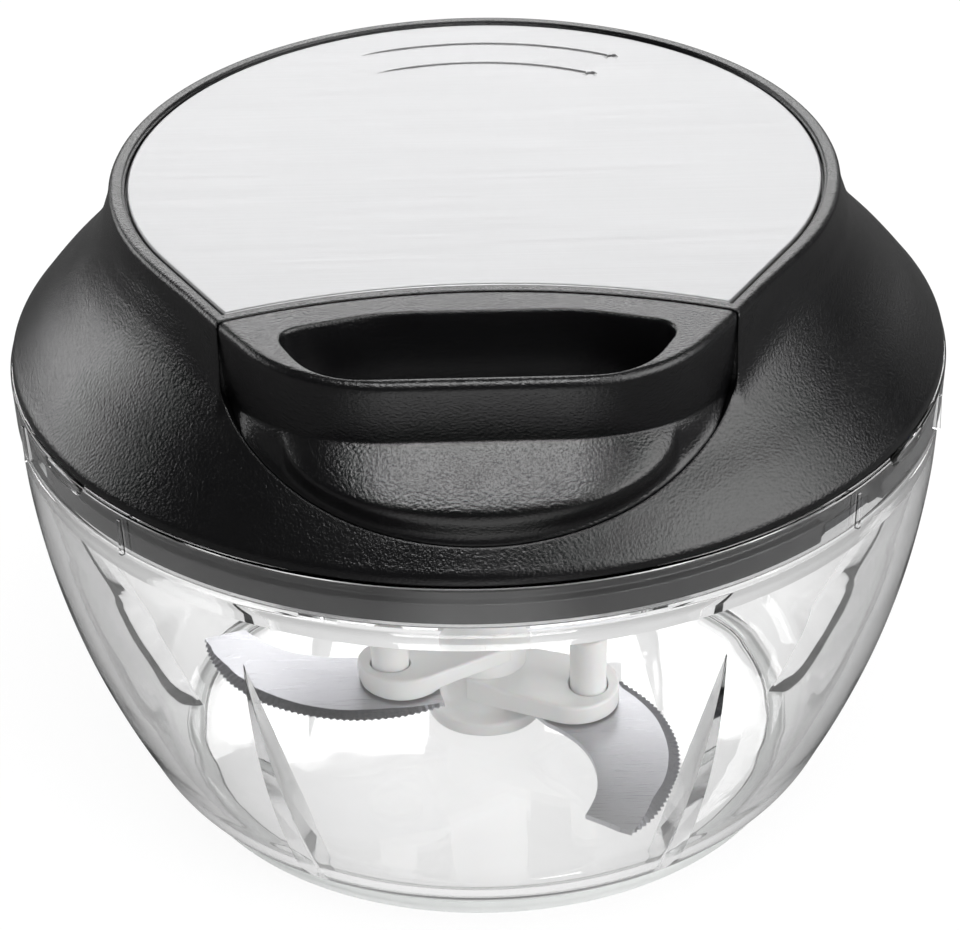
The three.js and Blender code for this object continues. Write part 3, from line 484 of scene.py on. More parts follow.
def add_node(
    tree: bpy.types.NodeTree, kind: str, inputs: dict[str, object] | Sequence[object] = (), **settings: object
) -> bpy.types.Node:
    """Adds a node with its settings and links.

    Args:
        tree: The material's or world's nodes.
        kind: The node's type.
        inputs: What goes into its inputs, by name or in their order: a value, another node's output, a node
            whose first output is taken, or None where the input stays as it is.
        settings: The node's own settings.

    Returns:
        The node.
    """
    made = tree.nodes.new(kind)
    for name, value in settings.items():
        setattr(made, name, value)
    for name, value in (inputs.items() if isinstance(inputs, dict) else enumerate(inputs)):
        if isinstance(value, bpy.types.Node):
            value = value.outputs[0]
        if isinstance(value, bpy.types.NodeSocket):
            tree.links.new(value, made.inputs[name])
        elif value is not None:
            made.inputs[name].default_value = value
    return made


def new_material(name: str) -> tuple[bpy.types.Material, bpy.types.NodeTree]:
    """Makes a material without nodes.

    Args:
        name: The material's name.

    Returns:
        The material and its set of nodes.
    """
    material = bpy.data.materials.new(name)
    material.use_nodes = True
    material.node_tree.nodes.clear()
    return material, material.node_tree


def light_passes(tree: bpy.types.NodeTree, shader: bpy.types.Node, tint: str, share: float) -> bpy.types.Node:
    """Lets a share of the lamps' light pass straight through a clear material, tinted.

    Args:
        tree: The material's nodes.
        shader: Its shader.
        tint: The colour that the light takes.
        share: The share of light that passes.

    Returns:
        The shader with that light.
    """
    rays = add_node(tree, "ShaderNodeLightPath").outputs
    unseen = add_node(
        tree, "ShaderNodeMath", (rays["Is Shadow Ray"], rays["Is Diffuse Ray"]), operation="MAXIMUM")
    factor = add_node(tree, "ShaderNodeMath", (unseen, share), operation="MULTIPLY")
    open_way = add_node(tree, "ShaderNodeBsdfTransparent", {"Color": linear(tint)})
    return add_node(tree, "ShaderNodeMixShader", (factor, shader, open_way))


@dataclass(frozen=True)
class ClearPlastic:
    """Clear styrene plastic, injection moulded in a polished mould.

    It is glassy, with a faint swell from the mould that bends what shows through it. Where the wall is seen at a
    slant, its colour is painted darker, a painted shade that turns the edges of the bowl grey.
    """

    name: str = "clear_plastic"
    # clearness: the base colour face-on and at the edges; the darker edge value is a painted shade.
    clearness: Pair = (0.98, 0.28)
    slant: Pair = (0.4, 0.95)
    shade: str = "#f6f6f6"
    passes: float = 0.9
    refraction: float = 1.57
    roughness: float = 0.015
    ripple_size: float = 14
    ripple_depth: float = 0.04

    def make(self) -> bpy.types.Material:
        """Makes the material.

        Returns:
            The material.
        """
        material, tree = new_material(self.name)
        place = add_node(tree, "ShaderNodeTexCoord").outputs["Object"]
        ripple = add_node(tree, "ShaderNodeTexNoise", {
            "Vector": place, "Scale": 1 / (self.ripple_size * MM), "Detail": 1.0})
        # Painted shade: the base colour darkens as the surface turns away from the view, greying the bowl's edges.
        facing = add_node(tree, "ShaderNodeLayerWeight").outputs["Facing"]
        shader = add_node(tree, "ShaderNodeBsdfPrincipled", {
            "Base Color": add_node(tree, "ShaderNodeMapRange", (facing, *self.slant, *self.clearness)),
            "Transmission Weight": 1.0, "IOR": self.refraction, "Roughness": self.roughness,
            "Normal": add_node(tree, "ShaderNodeBump", {"Height": ripple, "Distance": self.ripple_depth * MM})})
        add_node(tree, "ShaderNodeOutputMaterial", (light_passes(tree, shader, self.shade, self.passes),))
        return material


@dataclass(frozen=True)
class SoftFoot:
    """Thermoplastic elastomer, moulded: milky, matt and uneven in its gloss, as it grips the table."""

    name: str = "soft_foot"
    tint: str = "#e6e8e7"
    clearness: float = 0.8
    refraction: float = 1.48
    roughness: Pair = (0.3, 0.42)
    spot: float = 0.8

    def make(self) -> bpy.types.Material:
        """Makes the material.

        Returns:
            The material.
        """
        material, tree = new_material(self.name)
        place = add_node(tree, "ShaderNodeTexCoord").outputs["Object"]
        spots = add_node(tree, "ShaderNodeTexNoise", {
            "Vector": place, "Scale": 1 / (self.spot * MM), "Detail": 3.0})
        shader = add_node(tree, "ShaderNodeBsdfPrincipled", {
            "Base Color": linear(self.tint), "Transmission Weight": self.clearness, "IOR": self.refraction,
            "Roughness": add_node(tree, "ShaderNodeMapRange", (spots, *MOST, *self.roughness))})
        add_node(tree, "ShaderNodeOutputMaterial", (light_passes(tree, shader, self.tint, self.clearness),))
        return material


@dataclass(frozen=True)
class MouldedPlastic:
    """Moulded plastic or rubber with the grain of a spark-eroded mould, which breaks its shine into glints.

    Args:
        name: The material's name.
        colour: Its colour.
        roughness: How matt it is.
        grain: The size of the grain in millimetres.
        fine_grain: The share of finer grain in it.
        depth: The depth of the grain in millimetres.
        mottle: The share by which the shade wanders.
        gloss: The strength of the reflection from its surface.
        refraction: Its index of refraction.
        glow: The share of light that spreads inside it.
        glow_reach: How far that light spreads in millimetres.
        edge: The radius in millimetres that sharp edges are seen to have.
        cloud: The size in millimetres of patches of more and less shine.
        cloudy: How much smoother and rougher these patches are.
    """

    name: str
    colour: str
    roughness: float = 0.4
    grain: float = 0.45
    fine_grain: float = 0.55
    depth: float = 0.03
    mottle: float = 0.12
    gloss: float = 0.5
    refraction: float = 1.5
    glow: float = 0.0
    glow_reach: float = 1.5
    edge: float = 0.3
    cloud: float = 9
    cloudy: Pair = (-0.03, 0.04)

    def make(self) -> bpy.types.Material:
        """Makes the material.

        Returns:
            The material.
        """
        material, tree = new_material(self.name)
        place = add_node(tree, "ShaderNodeTexCoord").outputs["Object"]
        grain = add_node(tree, "ShaderNodeTexNoise", {
            "Vector": place, "Scale": 1 / (self.grain * MM), "Detail": 3.0, "Roughness": self.fine_grain})
        clouds = add_node(tree, "ShaderNodeTexNoise", {
            "Vector": place, "Scale": 1 / (self.cloud * MM), "Detail": 3.0})
        shade = add_node(tree, "ShaderNodeMapRange", (grain, *MOST, 1 - self.mottle, 1 + self.mottle))
        colour = add_node(
            tree, "ShaderNodeMix", (1.0, *[None] * 5, linear(self.colour), shade),
            data_type="RGBA", blend_type="MULTIPLY")
        shine = (self.roughness + self.cloudy[0], self.roughness + self.cloudy[1])
        edges = add_node(tree, "ShaderNodeBevel", {"Radius": self.edge * MM}, samples=6)
        shader = add_node(tree, "ShaderNodeBsdfPrincipled", {
            "Base Color": colour.outputs[2],
            "Roughness": add_node(tree, "ShaderNodeMapRange", (clouds, *MOST, *shine)),
            "Specular IOR Level": self.gloss, "IOR": self.refraction, "Subsurface Weight": self.glow,
            "Subsurface Scale": self.glow_reach * MM,
            "Normal": add_node(
                tree, "ShaderNodeBump", {"Height": grain, "Distance": self.depth * MM, "Normal": edges})})
        add_node(tree, "ShaderNodeOutputMaterial", (shader,))
        return material


@dataclass(frozen=True)
class DrawnMetal:
    """Metal whose fine lines from rolling, brushing or grinding draw its highlights out across them.

    Args:
        name: The material's name.
        colour: Its colour.
        roughness: How matt it is.
        line: The width of a line in millimetres.
        length: The length of a line in millimetres.
        fine_lines: The share of finer lines between them.
        depth: The depth of the lines in millimetres.
        across: The axis that the lines cross, as x, y and z.
        mottle: The share by which the shade wanders.
        uneven: How much smoother and rougher the lines are.
    """

    name: str
    colour: str
    roughness: float = 0.3
    line: float = 0.12
    length: float = 24
    fine_lines: float = 0.6
    depth: float = 0.004
    across: Triple = (0, 1, 0)
    mottle: float = 0.08
    uneven: Pair = (-0.05, 0.07)

    def make(self) -> bpy.types.Material:
        """Makes the material.

        Returns:
            The material.
        """
        material, tree = new_material(self.name)
        place = add_node(tree, "ShaderNodeTexCoord").outputs["Object"]
        stretch = tuple(1 / self.line if axis else 1 / self.length for axis in self.across)
        drawn = add_node(tree, "ShaderNodeMapping", {"Vector": place, "Scale": stretch})
        lines = add_node(tree, "ShaderNodeTexNoise", {
            "Vector": drawn, "Scale": 1 / MM, "Detail": 4.0, "Roughness": self.fine_lines})
        shade = add_node(tree, "ShaderNodeMapRange", (lines, *MOST, 1 - self.mottle, 1 + self.mottle))
        colour = add_node(
            tree, "ShaderNodeMix", (1.0, *[None] * 5, linear(self.colour), shade),
            data_type="RGBA", blend_type="MULTIPLY")
        shine = (self.roughness + self.uneven[0], self.roughness + self.uneven[1])
        shader = add_node(tree, "ShaderNodeBsdfPrincipled", {
            "Base Color": colour.outputs[2], "Metallic": 1.0,
            "Roughness": add_node(tree, "ShaderNodeMapRange", (lines, *MOST, *shine)),
            "Normal": add_node(tree, "ShaderNodeBump", {"Height": lines, "Distance": self.depth * MM})})
        add_node(tree, "ShaderNodeOutputMaterial", (shader,))
        return material


@dataclass(frozen=True)
class BraidedCord:
    """Polyester yarn braided into a round cord: matt, with strands that cross, and a painted shade between them.

    Args:
        name: The material's name.
        height: The height of the cord's middle, for a cord that lies along Y at rest.
        colour: Its colour.
        strand: The length of a strand's crossing in millimetres.
        strands: The number of strands each way.
        relief: How far the strands stand out in millimetres.
        hollow: The painted shade between the strands, as a share of the colour.
        crest: The part of a strand's wave over which its painted shade rises to the full colour.
        roughness: How matt it is.
        fuzz: The soft shine of its fibres.
    """

    name: str
    height: float
    colour: str = "#f1f1ee"
    strand: float = 0.9
    strands: int = 6
    relief: float = 0.08
    # The painted shade between the strands, as a share of the colour.
    hollow: float = 0.72
    crest: Pair = (-0.6, 0.9)
    roughness: float = 0.8
    fuzz: float = 0.25

    def make(self) -> bpy.types.Material:
        """Makes the material.

        Returns:
            The material.
        """
        material, tree = new_material(self.name)
        whole = add_node(tree, "ShaderNodeTexCoord").outputs["Object"]
        place = add_node(tree, "ShaderNodeSeparateXYZ", (whole,)).outputs
        height = add_node(tree, "ShaderNodeMath", (place[2], self.height * MM), operation="SUBTRACT")
        turn = add_node(tree, "ShaderNodeMath", (height, place[0]), operation="ARCTAN2")
        along = add_node(
            tree, "ShaderNodeMath", (place[1], 2 * math.pi / (self.strand * MM)), operation="MULTIPLY")
        across = add_node(tree, "ShaderNodeMath", (turn, float(self.strands)), operation="MULTIPLY")
        waves = []
        for side in ("ADD", "SUBTRACT"):
            both = add_node(tree, "ShaderNodeMath", (along, across), operation=side)
            waves.append(add_node(tree, "ShaderNodeMath", (both,), operation="SINE"))
        weave = add_node(tree, "ShaderNodeMath", waves, operation="MAXIMUM")
        # Painted shade: the colour darkens between the strands, where the weave dips.
        shade = add_node(tree, "ShaderNodeMapRange", (weave, *self.crest, self.hollow, 1.0))
        colour = add_node(
            tree, "ShaderNodeMix", (1.0, *[None] * 5, linear(self.colour), shade),
            data_type="RGBA", blend_type="MULTIPLY")
        shader = add_node(tree, "ShaderNodeBsdfPrincipled", {
            "Base Color": colour.outputs[2], "Roughness": self.roughness, "Sheen Weight": self.fuzz,
            "Normal": add_node(tree, "ShaderNodeBump", {"Height": weave, "Distance": self.relief * MM})})
        add_node(tree, "ShaderNodeOutputMaterial", (shader,))
        return material


Finish = ClearPlastic | SoftFoot | MouldedPlastic | DrawnMetal | BraidedCord

CLEAR = ClearPlastic()
SOFT = SoftFoot()
# ABS with a leather-like spark-eroded grain of 0.42 mm. It is deep black, and its highlights break into glints.
BLACK = MouldedPlastic(
    "black_plastic", "#0a0a0b", roughness=0.22, grain=0.42, depth=0.1, refraction=1.56, edge=0.45)
# Polypropylene from a polished mould. It is satin and even, and light spreads a little inside it.
WHITE = MouldedPlastic(
    "white_plastic", "#f2f2f1", roughness=0.36, grain=0.9, depth=0.003, mottle=0.005, glow=0.15, edge=0.35)
# Acetal, moulded: slightly waxy, with a grain so shallow that it only softens the shine.
GREY = MouldedPlastic("grey_plastic", "#8e9296", roughness=0.42, grain=0.5, depth=0.01)
# Silicone rubber, moulded: nearly black and matt, with little reflection.
RUBBER = MouldedPlastic("silicone", "#242528", roughness=0.62, grain=0.3, depth=0.012, gloss=0.35)
# Stainless sheet, brushed from side to side: an even soft glow with faint streaks. Real lines of about 0.03 mm
# are too fine to show, so they are drawn 0.1 mm wide.
PLATE_STEEL = DrawnMetal("brushed_steel", "#a5a5a6", roughness=0.42, line=0.1, length=30)
# Stainless strip, rolled and tumbled: smooth, with short soft lines. They are drawn about three times as wide as
# the real ones, which wouldn't show.
BLADE_STEEL = DrawnMetal("blade_steel", "#adadb1", roughness=0.3, line=0.16, length=9, mottle=0.04)
# The same strip where the edge is ground: coarse scratches, and a darker colour that is painted shade on the
# slanting band.
SHADED_GROUND_STEEL = DrawnMetal("ground_edge_painted_shade", "#5b5b60", roughness=0.42, line=0.2, length=2, depth=0.012, mottle=0.25)
# Turned steel rod, zinc plated: bright and a little blue, with rings round it.
ZINC = DrawnMetal("zinc_steel", "#b1b4b8", roughness=0.34, line=0.25, length=3, across=(0, 0, 1))
# Spring steel strip, rolled and tempered: grey, with long lines along it.
SPRING = DrawnMetal("spring_steel", "#6f7478", roughness=0.3, line=0.3, length=20, across=(0, 0, 1))


class Workshop:
    """Makes each finish once, and turns bodies into the pieces that show."""

    def __init__(self) -> None:
        """Starts with no finish made."""
        self.made: dict[str, bpy.types.Material] = {}

    def finish(self, look: Finish) -> bpy.types.Material:
        """Returns the material of a finish.

        Args:
            look: The finish.

        Returns:
            The material, made once.
        """
        if look.name not in self.made:
            self.made[look.name] = look.make()
        return self.made[look.name]

    def piece(
        self, name: str, form: Form, look: Finish, body: Body, nodes: Sequence[str], sharp: float = 32,
    ) -> bpy.types.Object:
        """Turns a body into a piece that stands for CAD nodes.

        Args:
            name: The piece's name.
            form: Its shape.
            look: Its finish.
            body: The body that it rides on.
            nodes: The CAD nodes that it stands for.
            sharp: The angle in degrees from which an edge is seen as sharp.

        Returns:
            The piece.
        """
        obj = new_object(name, form)
        obj.data.shade_smooth()
        obj.data.set_sharp_from_angle(angle=math.radians(sharp))
        even_shading(obj)
        obj.data.materials.append(self.finish(look))
        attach(obj, body.value)
        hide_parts(*nodes)
        LOG.info("%s: %d faces", name, len(form.faces))
        return obj

    def dress(self, look: Finish, *nodes: str) -> None:
        """Gives CAD nodes a finish.

        Args:
            look: The finish.
            nodes: Their names.
        """
        for name in nodes:
            for material_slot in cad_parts[name].material_slots:
                material_slot.material = self.finish(look)


# Bowl


@dataclass(frozen=True)
class Bowl:
    """The clear bowl with its fins, lugs and ribs, its soft foot and its steel pin."""

    radius: float = 71.7
    shoulder: float = 66
    wall: float = 2.6
    floor_radius: float = 43
    floor_recess: float = 1.3
    floor_thickness: float = 2.4
    rim_band: float = 7.1
    rim_step: float = 0.25
    rim_draft: float = 0.35
    rim_wall: float = 1.2
    rim_foot_edge: float = 0.7
    rim_outer_edge: float = 0.55
    rim_inner_edge: float = 0.35
    shoulder_edge: float = 1.5
    shoulder_bead: float = 1.6
    ledge_height: float = 0.9
    corner_steps: int = 12
    curve: tuple[Pair, ...] = (
        (0.768, 0.092), (0.813, 0.183), (0.863, 0.305), (0.915, 0.4595), (0.960, 0.642), (0.990, 0.841))
    fin_count: int = 6
    fin_width: float = 5.8
    fin_tip_width: float = 0.5
    fin_reach: float = 47.3
    fin_height: float = 52
    fin_nose: float = 0.12
    fin_steps: int = 28
    lug_count: int = 3
    lug_azimuth: float = -28.6
    lug_width: float = 12
    lug_height: float = 2.8
    lug_reach: float = 1.6
    lug_skin: float = 0.6
    lug_pocket: float = 0.9
    lug_steps: int = 12
    rib_angle: float = 12.5
    rib_width: float = 0.6
    rib_proud: float = 0.3
    foot_radius: float = 50.8
    foot_width: float = 3
    foot_height: float = 2.3
    foot_seat_edge: float = 0.3
    pin_radius: float = 2.5
    pin_height: float = 30
    pin_embed: float = 1.2
    pin_tip: float = 1.1

    @property
    def floor_top(self) -> float:
        """The height of the bowl's floor inside."""
        return self.floor_recess + self.floor_thickness

    @property
    def ledge(self) -> float:
        """The height of the ledge inside the rim."""
        return self.shoulder + self.ledge_height

    @property
    def rim_height(self) -> float:
        """The height of the rim."""
        return self.ledge + self.rim_band

    @property
    def rim_radius(self) -> float:
        """The outer radius of the rim."""
        return self.radius + self.rim_step + self.rim_draft

    @property
    def rim_inner(self) -> float:
        """The inner radius of the rim."""
        return self.rim_radius - self.rim_wall

    @property
    def seal_bore(self) -> float:
        """The inner radius of the shoulder."""
        return self.radius - self.wall - self.shoulder_bead

    @property
    def lug_inner(self) -> float:
        """The radius of the lugs' inner faces."""
        return self.rim_inner - self.lug_reach

    @property
    def pin_top(self) -> float:
        """The height of the pin's end."""
        return self.floor_top + self.pin_height

    def outside(self) -> np.ndarray:
        """Returns the outer profile of the wall, from the foot up to the shoulder.

        Returns:
            The points of the profile, as radius and height.
        """
        shares = [(r * self.radius, z * self.shoulder) for r, z in self.curve]
        return spline(
            [(self.foot_radius, self.foot_height + GAP), *shares, (self.radius, self.shoulder)], steps=8)

    def inside(self) -> np.ndarray:
        """Returns the inner profile of the wall, from the floor up to the shoulder.

        Returns:
            The points of the profile, as radius and height.
        """
        wall = inset(self.outside(), self.wall)
        wall = wall[(wall[:, 1] > self.floor_top + 2 * self.wall) & (wall[:, 1] < self.shoulder - self.wall)]
        (r0, z0), (r1, z1) = wall[:2]
        meet = r0 - (z0 - self.floor_top) * (r1 - r0) / (z1 - z0)
        corner = [
            (1 - t) ** 2 * np.array([self.floor_radius, self.floor_top])
            + 2 * t * (1 - t) * np.array([meet, self.floor_top]) + t * t * np.array([r0, z0])
            for t in np.arange(self.corner_steps) / self.corner_steps
        ]
        return np.vstack([corner, wall])

    def lens(self, width: float, low: float, high: float) -> np.ndarray:
        """Returns the outline of a lug, flat above and round below.

        Args:
            width: Its width.
            low: The height of its lower end.
            high: The height of its upper end.

        Returns:
            The outline.
        """
        half, t = width / 2, np.linspace(0, 1, self.lug_steps + 1)
        corners = np.array([(-half, high), (-half, low), (-half / 2, low), (0, low)])
        weights = np.array([(1 - t) ** 3, 3 * t * (1 - t) ** 2, 3 * t * t * (1 - t), t**3])
        left = weights.T @ corners
        right = left[::-1][1:] * [-1, 1]
        return np.vstack([left, right])

    def lug(self, azimuth: float) -> Form:
        """Returns a lug of the bayonet with its hollow inner face.

        Args:
            azimuth: Where it stands, in degrees.

        Returns:
            The lug.
        """
        top, low = self.rim_height - GAP, self.rim_height - self.lug_height
        body = radial_prism(
            self.lens(self.lug_width, low, top), self.lug_inner, self.rim_inner + self.rim_wall / 2, azimuth)
        hollow = self.lens(self.lug_width - 2 * self.lug_skin, low + self.lug_skin, top - self.lug_skin)
        return body.cut(radial_prism(
            hollow, self.lug_inner - OVERRUN, self.lug_inner + self.lug_pocket, azimuth))

    def rib(self, azimuth: float) -> Form:
        """Returns a thin upright rib on the rim.

        Args:
            azimuth: Where it stands, in degrees.

        Returns:
            The rib.
        """
        half, top = self.rib_width / 2, self.rim_height - self.rim_wall
        outline = np.array([(-half, self.ledge), (half, self.ledge), (half, top), (-half, top)])
        return radial_prism(
            outline, self.rim_inner + self.rim_wall / 2, self.rim_radius + self.rib_proud, azimuth)

    def fin(self, azimuth: float) -> Form:
        """Returns a fin that stands on the wall and stirs the food.

        Args:
            azimuth: Where it stands, in degrees.

        Returns:
            The fin.
        """
        inside, rings = self.inside(), []
        base = self.floor_top - GAP
        ridge_top = radius_at(inside, base + self.fin_height) + GAP
        for share in np.arange(self.fin_steps + 1) / self.fin_steps:
            z = base + share * self.fin_height
            half = (self.fin_width + share * (self.fin_tip_width - self.fin_width)) / 2
            wall = max(radius_at(inside, z) + self.wall / 2, self.foot_radius - GAP)
            ridge = self.fin_reach + share * (ridge_top - self.fin_reach)
            nose = min(self.fin_nose, half / 3)
            rings.append(np.array([
                (wall, half, z), (ridge + nose, nose, z), (ridge, 0, z), (ridge + nose, -nose, z),
                (wall, -half, z)]))
        return loft(rings).turned(azimuth)

    def build(self, shop: Workshop) -> None:
        """Builds the bowl, its foot and its pin.

        Args:
            shop: Makes the pieces.
        """
        seat = self.foot_radius - self.foot_width - GAP
        profile = rounded([
            (0, self.floor_recess), (seat, self.floor_recess, SOFT_EDGE),
            (seat, self.foot_height + GAP, self.foot_seat_edge), *self.outside(),
            (self.radius + self.rim_step, self.ledge, self.rim_foot_edge),
            (self.rim_radius, self.rim_height, self.rim_outer_edge),
            (self.rim_inner, self.rim_height, self.rim_inner_edge), (self.rim_inner, self.ledge, SOFT_EDGE),
            (self.seal_bore, self.ledge, self.rim_inner_edge),
            (self.seal_bore, self.shoulder - self.wall + self.shoulder_bead, self.shoulder_edge),
            *self.inside()[::-1], (0, self.floor_top)], steps=5)
        lugs = [self.lug(a) for a in around(self.lug_count, self.lug_azimuth)]
        ribs = [
            self.rib(a) for side in (-1, 1)
            for a in around(self.lug_count, self.lug_azimuth + side * self.rib_angle)]
        fins = [self.fin(a) for a in around(self.fin_count, 0)]
        hole = rod(self.pin_radius + GAP, self.floor_top - self.pin_embed, self.floor_top + OVERRUN)
        body = revolve(profile, 2 * ROUND).join(*lugs, *ribs, *fins).cut(hole)
        shop.piece("clear_bowl", body, CLEAR, Body.BOWL, ["bowl"], sharp=22)

        inner = self.foot_radius - self.foot_width
        ring = revolve(rounded([
            (inner, 0, ROUND_EDGE), (self.foot_radius, 0, ROUND_EDGE),
            (self.foot_radius, self.foot_height, FINE_EDGE), (inner, self.foot_height, FINE_EDGE)]))
        shop.piece("soft_foot_ring", ring, SOFT, Body.BOWL, ["foot_ring"])

        low = self.floor_top - self.pin_embed + GAP
        pin = revolve(rounded([
            (0, low), (self.pin_radius, low, FINE_EDGE), (self.pin_radius, self.pin_top, self.pin_tip),
            (0, self.pin_top)]), SMALL)
        shop.piece("steel_pin", pin, ZINC, Body.BOWL, ["spindle_pin"])


# Lid


@dataclass(frozen=True)
class Lid:
    """The lid: cover, steel plate, handle pocket, base plate and seal."""

    bowl: Bowl
    rise: float = 28.3
    rim_inset: float = 0.4
    wall: float = 2.2
    ring_radius: float = 55
    ring_width: float = 2.2
    ring_edge: float = 1.0
    ring_steps: int = 12
    ring_edge_steps: int = 5
    side_azimuth: float = -30.1
    neck_height: float = 3.3
    neck_slope: float = 0.45
    neck_blend: float = 2.4
    flank_shares: tuple[Pair, ...] = (
        (0, 0), (0.009, 0.05), (0.077, 0.115), (0.272, 0.28), (0.524, 0.465), (0.734, 0.65),
        (0.849, 0.795), (0.923, 0.916))
    plate_thickness: float = 0.8
    plate_seat: float = 1.7
    plate_sink: float = 0.3
    plate_edge: float = 0.5
    seat_step: float = 0.45
    seat_lean: Pair = (0.8, 0.9)
    arc_depth: float = 0.2
    arc_width: float = 1.1
    arc_radii: Pair = (45, 37.8)
    arc_span: float = 54
    arc_middle: float = 87.2
    arc_fade: float = 0.18
    arc_ease: float = 1.5
    arc_steps: int = 73
    arc_sides: int = 40
    pit_radius: float = 1.1
    pit_shape: tuple[Pair, ...] = ((0, 1.6), (0.55, 1.5), (0.9, 0.7), (1, 0))
    pocket_half_width: float = 36.7
    pocket_back: float = 38.4
    pocket_sag: float = 95
    pocket_depth: float = 13.9
    pocket_wall: float = 2
    pocket_steps: int = 65
    corner_reach: float = 1.4
    grip_height: float = 9.8
    axle_bore: float = 3.2
    axle_slack: float = 0.7
    axle_boss_radius: float = 6
    axle_boss_length: float = 5.2
    screw_circle: float = 50
    screw_azimuth: float = 30
    screw_radius: float = 1.5
    screw_length: float = 9
    screw_head_radius: float = 2.9
    screw_head_height: float = 1.2
    screw_boss_radius: float = 3.6
    eyelet_hole: float = 2.85
    cord_z: float = 85.18
    base_thickness: float = 2.1
    skirt_wall: float = 2.7
    flange_height: float = 3.5
    seal_width: float = 1.3
    seal_height: float = 1.5
    locating_height: float = 2.5
    locating_wall: float = 2
    locating_chamfer: float = 1.6
    collar_bore: float = 10.4
    collar_wall: float = 2.2
    collar_drop: float = 4
    collar_fillet: float = 0.8
    skirt_fillet: float = 1.2
    skirt_edge: float = 0.3
    flange_edge: float = 0.25
    seal_lip_edge: float = 0.15
    unlock_angle: float = 12
    notch_width: float = 16
    notch_slope: float = 0.12

    @property
    def seam(self) -> float:
        """The height of the cover's lower edge."""
        return self.bowl.rim_height + GAP

    @property
    def radius(self) -> float:
        """The radius of the cover's lower edge."""
        return self.bowl.rim_radius - self.rim_inset

    @property
    def top(self) -> float:
        """The height of the lid's top."""
        return self.seam + self.rise

    @property
    def neck(self) -> float:
        """The height where the flank ends."""
        return self.top - self.neck_height

    @property
    def plate_top(self) -> float:
        """The height of the steel plate's face."""
        return self.top - self.plate_sink

    @property
    def plate_bottom(self) -> float:
        """The height of the steel plate's underside."""
        return self.plate_top - self.plate_thickness

    @property
    def ceiling(self) -> float:
        """The height of the cover's inner face."""
        return self.plate_bottom - GAP - self.plate_seat

    @property
    def crease(self) -> float:
        """The height of the handle grip's lower edge."""
        return self.top - self.grip_height

    @property
    def pocket_inner(self) -> float:
        """How far the pocket wall's inner face lies in front of the axis."""
        return self.pocket_back - self.pocket_wall

    def flank(self) -> np.ndarray:
        """Returns the profile of the flank, from the lower edge up to the neck.

        Returns:
            The points of the profile, as radius and height.
        """
        reach, rise = self.radius - self.ring_radius, self.neck - self.seam
        shares = [(self.radius - r * reach, self.seam + z * rise) for r, z in self.flank_shares]
        return spline([*shares, (self.ring_radius + GAP, self.neck)], steps=10)

    def top_outline(self, width: float, front: float, steps: int = ROUND) -> np.ndarray:
        """Returns the outline of the lid's top, anticlockwise.

        Args:
            width: How far it is drawn in from the ring's outer edge.
            front: The distance of its front edge's middle from the axis.
            steps: The number of stretches along its round part.

        Returns:
            A circle whose sides run on straight to the front corners, and a bulging front edge.
        """
        radius, side = self.ring_radius - width, math.radians(self.side_azimuth)
        touch = radius * np.array([math.cos(side), math.sin(side)])
        along = np.array([math.sin(side), -math.cos(side)])
        centre = np.array([0, -front - self.pocket_sag])
        offset = touch - centre
        half_b = -np.dot(offset, along)
        reach = half_b - math.sqrt(half_b**2 - np.dot(offset, offset) + self.pocket_sag**2)
        corner = touch + reach * along
        turns = np.linspace(side, math.pi - side, steps + 1)
        arc = radius * np.column_stack([np.cos(turns), np.sin(turns)])
        sweep = math.atan2(corner[1] - centre[1], corner[0])
        sag = np.linspace(math.pi - sweep, sweep, steps // 3 + 1)[1:-1]
        front_arc = centre + self.pocket_sag * np.column_stack([np.cos(sag), np.sin(sag)])
        run = np.linspace(0, 1, self.ring_steps + 1)[:-1, None]
        right = corner + run * (touch - corner)
        left = (right * [-1, 1])[::-1]
        return np.vstack([right, arc, left, front_arc])

    def pocket_outline(self, grow: float, top: float) -> np.ndarray:
        """Returns the pocket's section across the lid: upright sides over a half ellipse.

        Args:
            grow: How much wider and deeper it is than the pocket.
            top: The height where its sides end.

        Returns:
            The outline.
        """
        half, turns = self.pocket_half_width + grow, np.linspace(math.pi, 2 * math.pi, self.pocket_steps)
        bottom = np.column_stack([
            half * np.cos(turns), self.crease + (self.pocket_depth + grow) * np.sin(turns)])
        return np.vstack([bottom, [(half, top), (-half, top)]])

    def pocket_body(self, grow: float, back: float) -> Form:
        """Returns the pocket's space, wider by a distance and ending at a bulging back wall.

        Args:
            grow: How much wider and deeper it is than the pocket.
            back: The distance of its back wall from the axis.

        Returns:
            The space.
        """
        top, wide = self.top + OVERRUN, self.bowl.radius + OVERRUN
        sweep = math.acos(wide / self.pocket_sag)
        turns = np.linspace(sweep, math.pi - sweep, self.pocket_steps)
        back_wall = np.array([0, -back - self.pocket_sag]) + self.pocket_sag * np.column_stack(
            [np.cos(turns), np.sin(turns)])
        front = np.vstack([back_wall, [(-wide, -2 * wide), (wide, -2 * wide)]])
        low = self.crease - self.pocket_depth - 2 * OVERRUN - self.pocket_wall
        along = prism_along_y(self.pocket_outline(grow, top), -2 * self.bowl.radius, 0)
        return along.common(prism(front, low, top + OVERRUN))

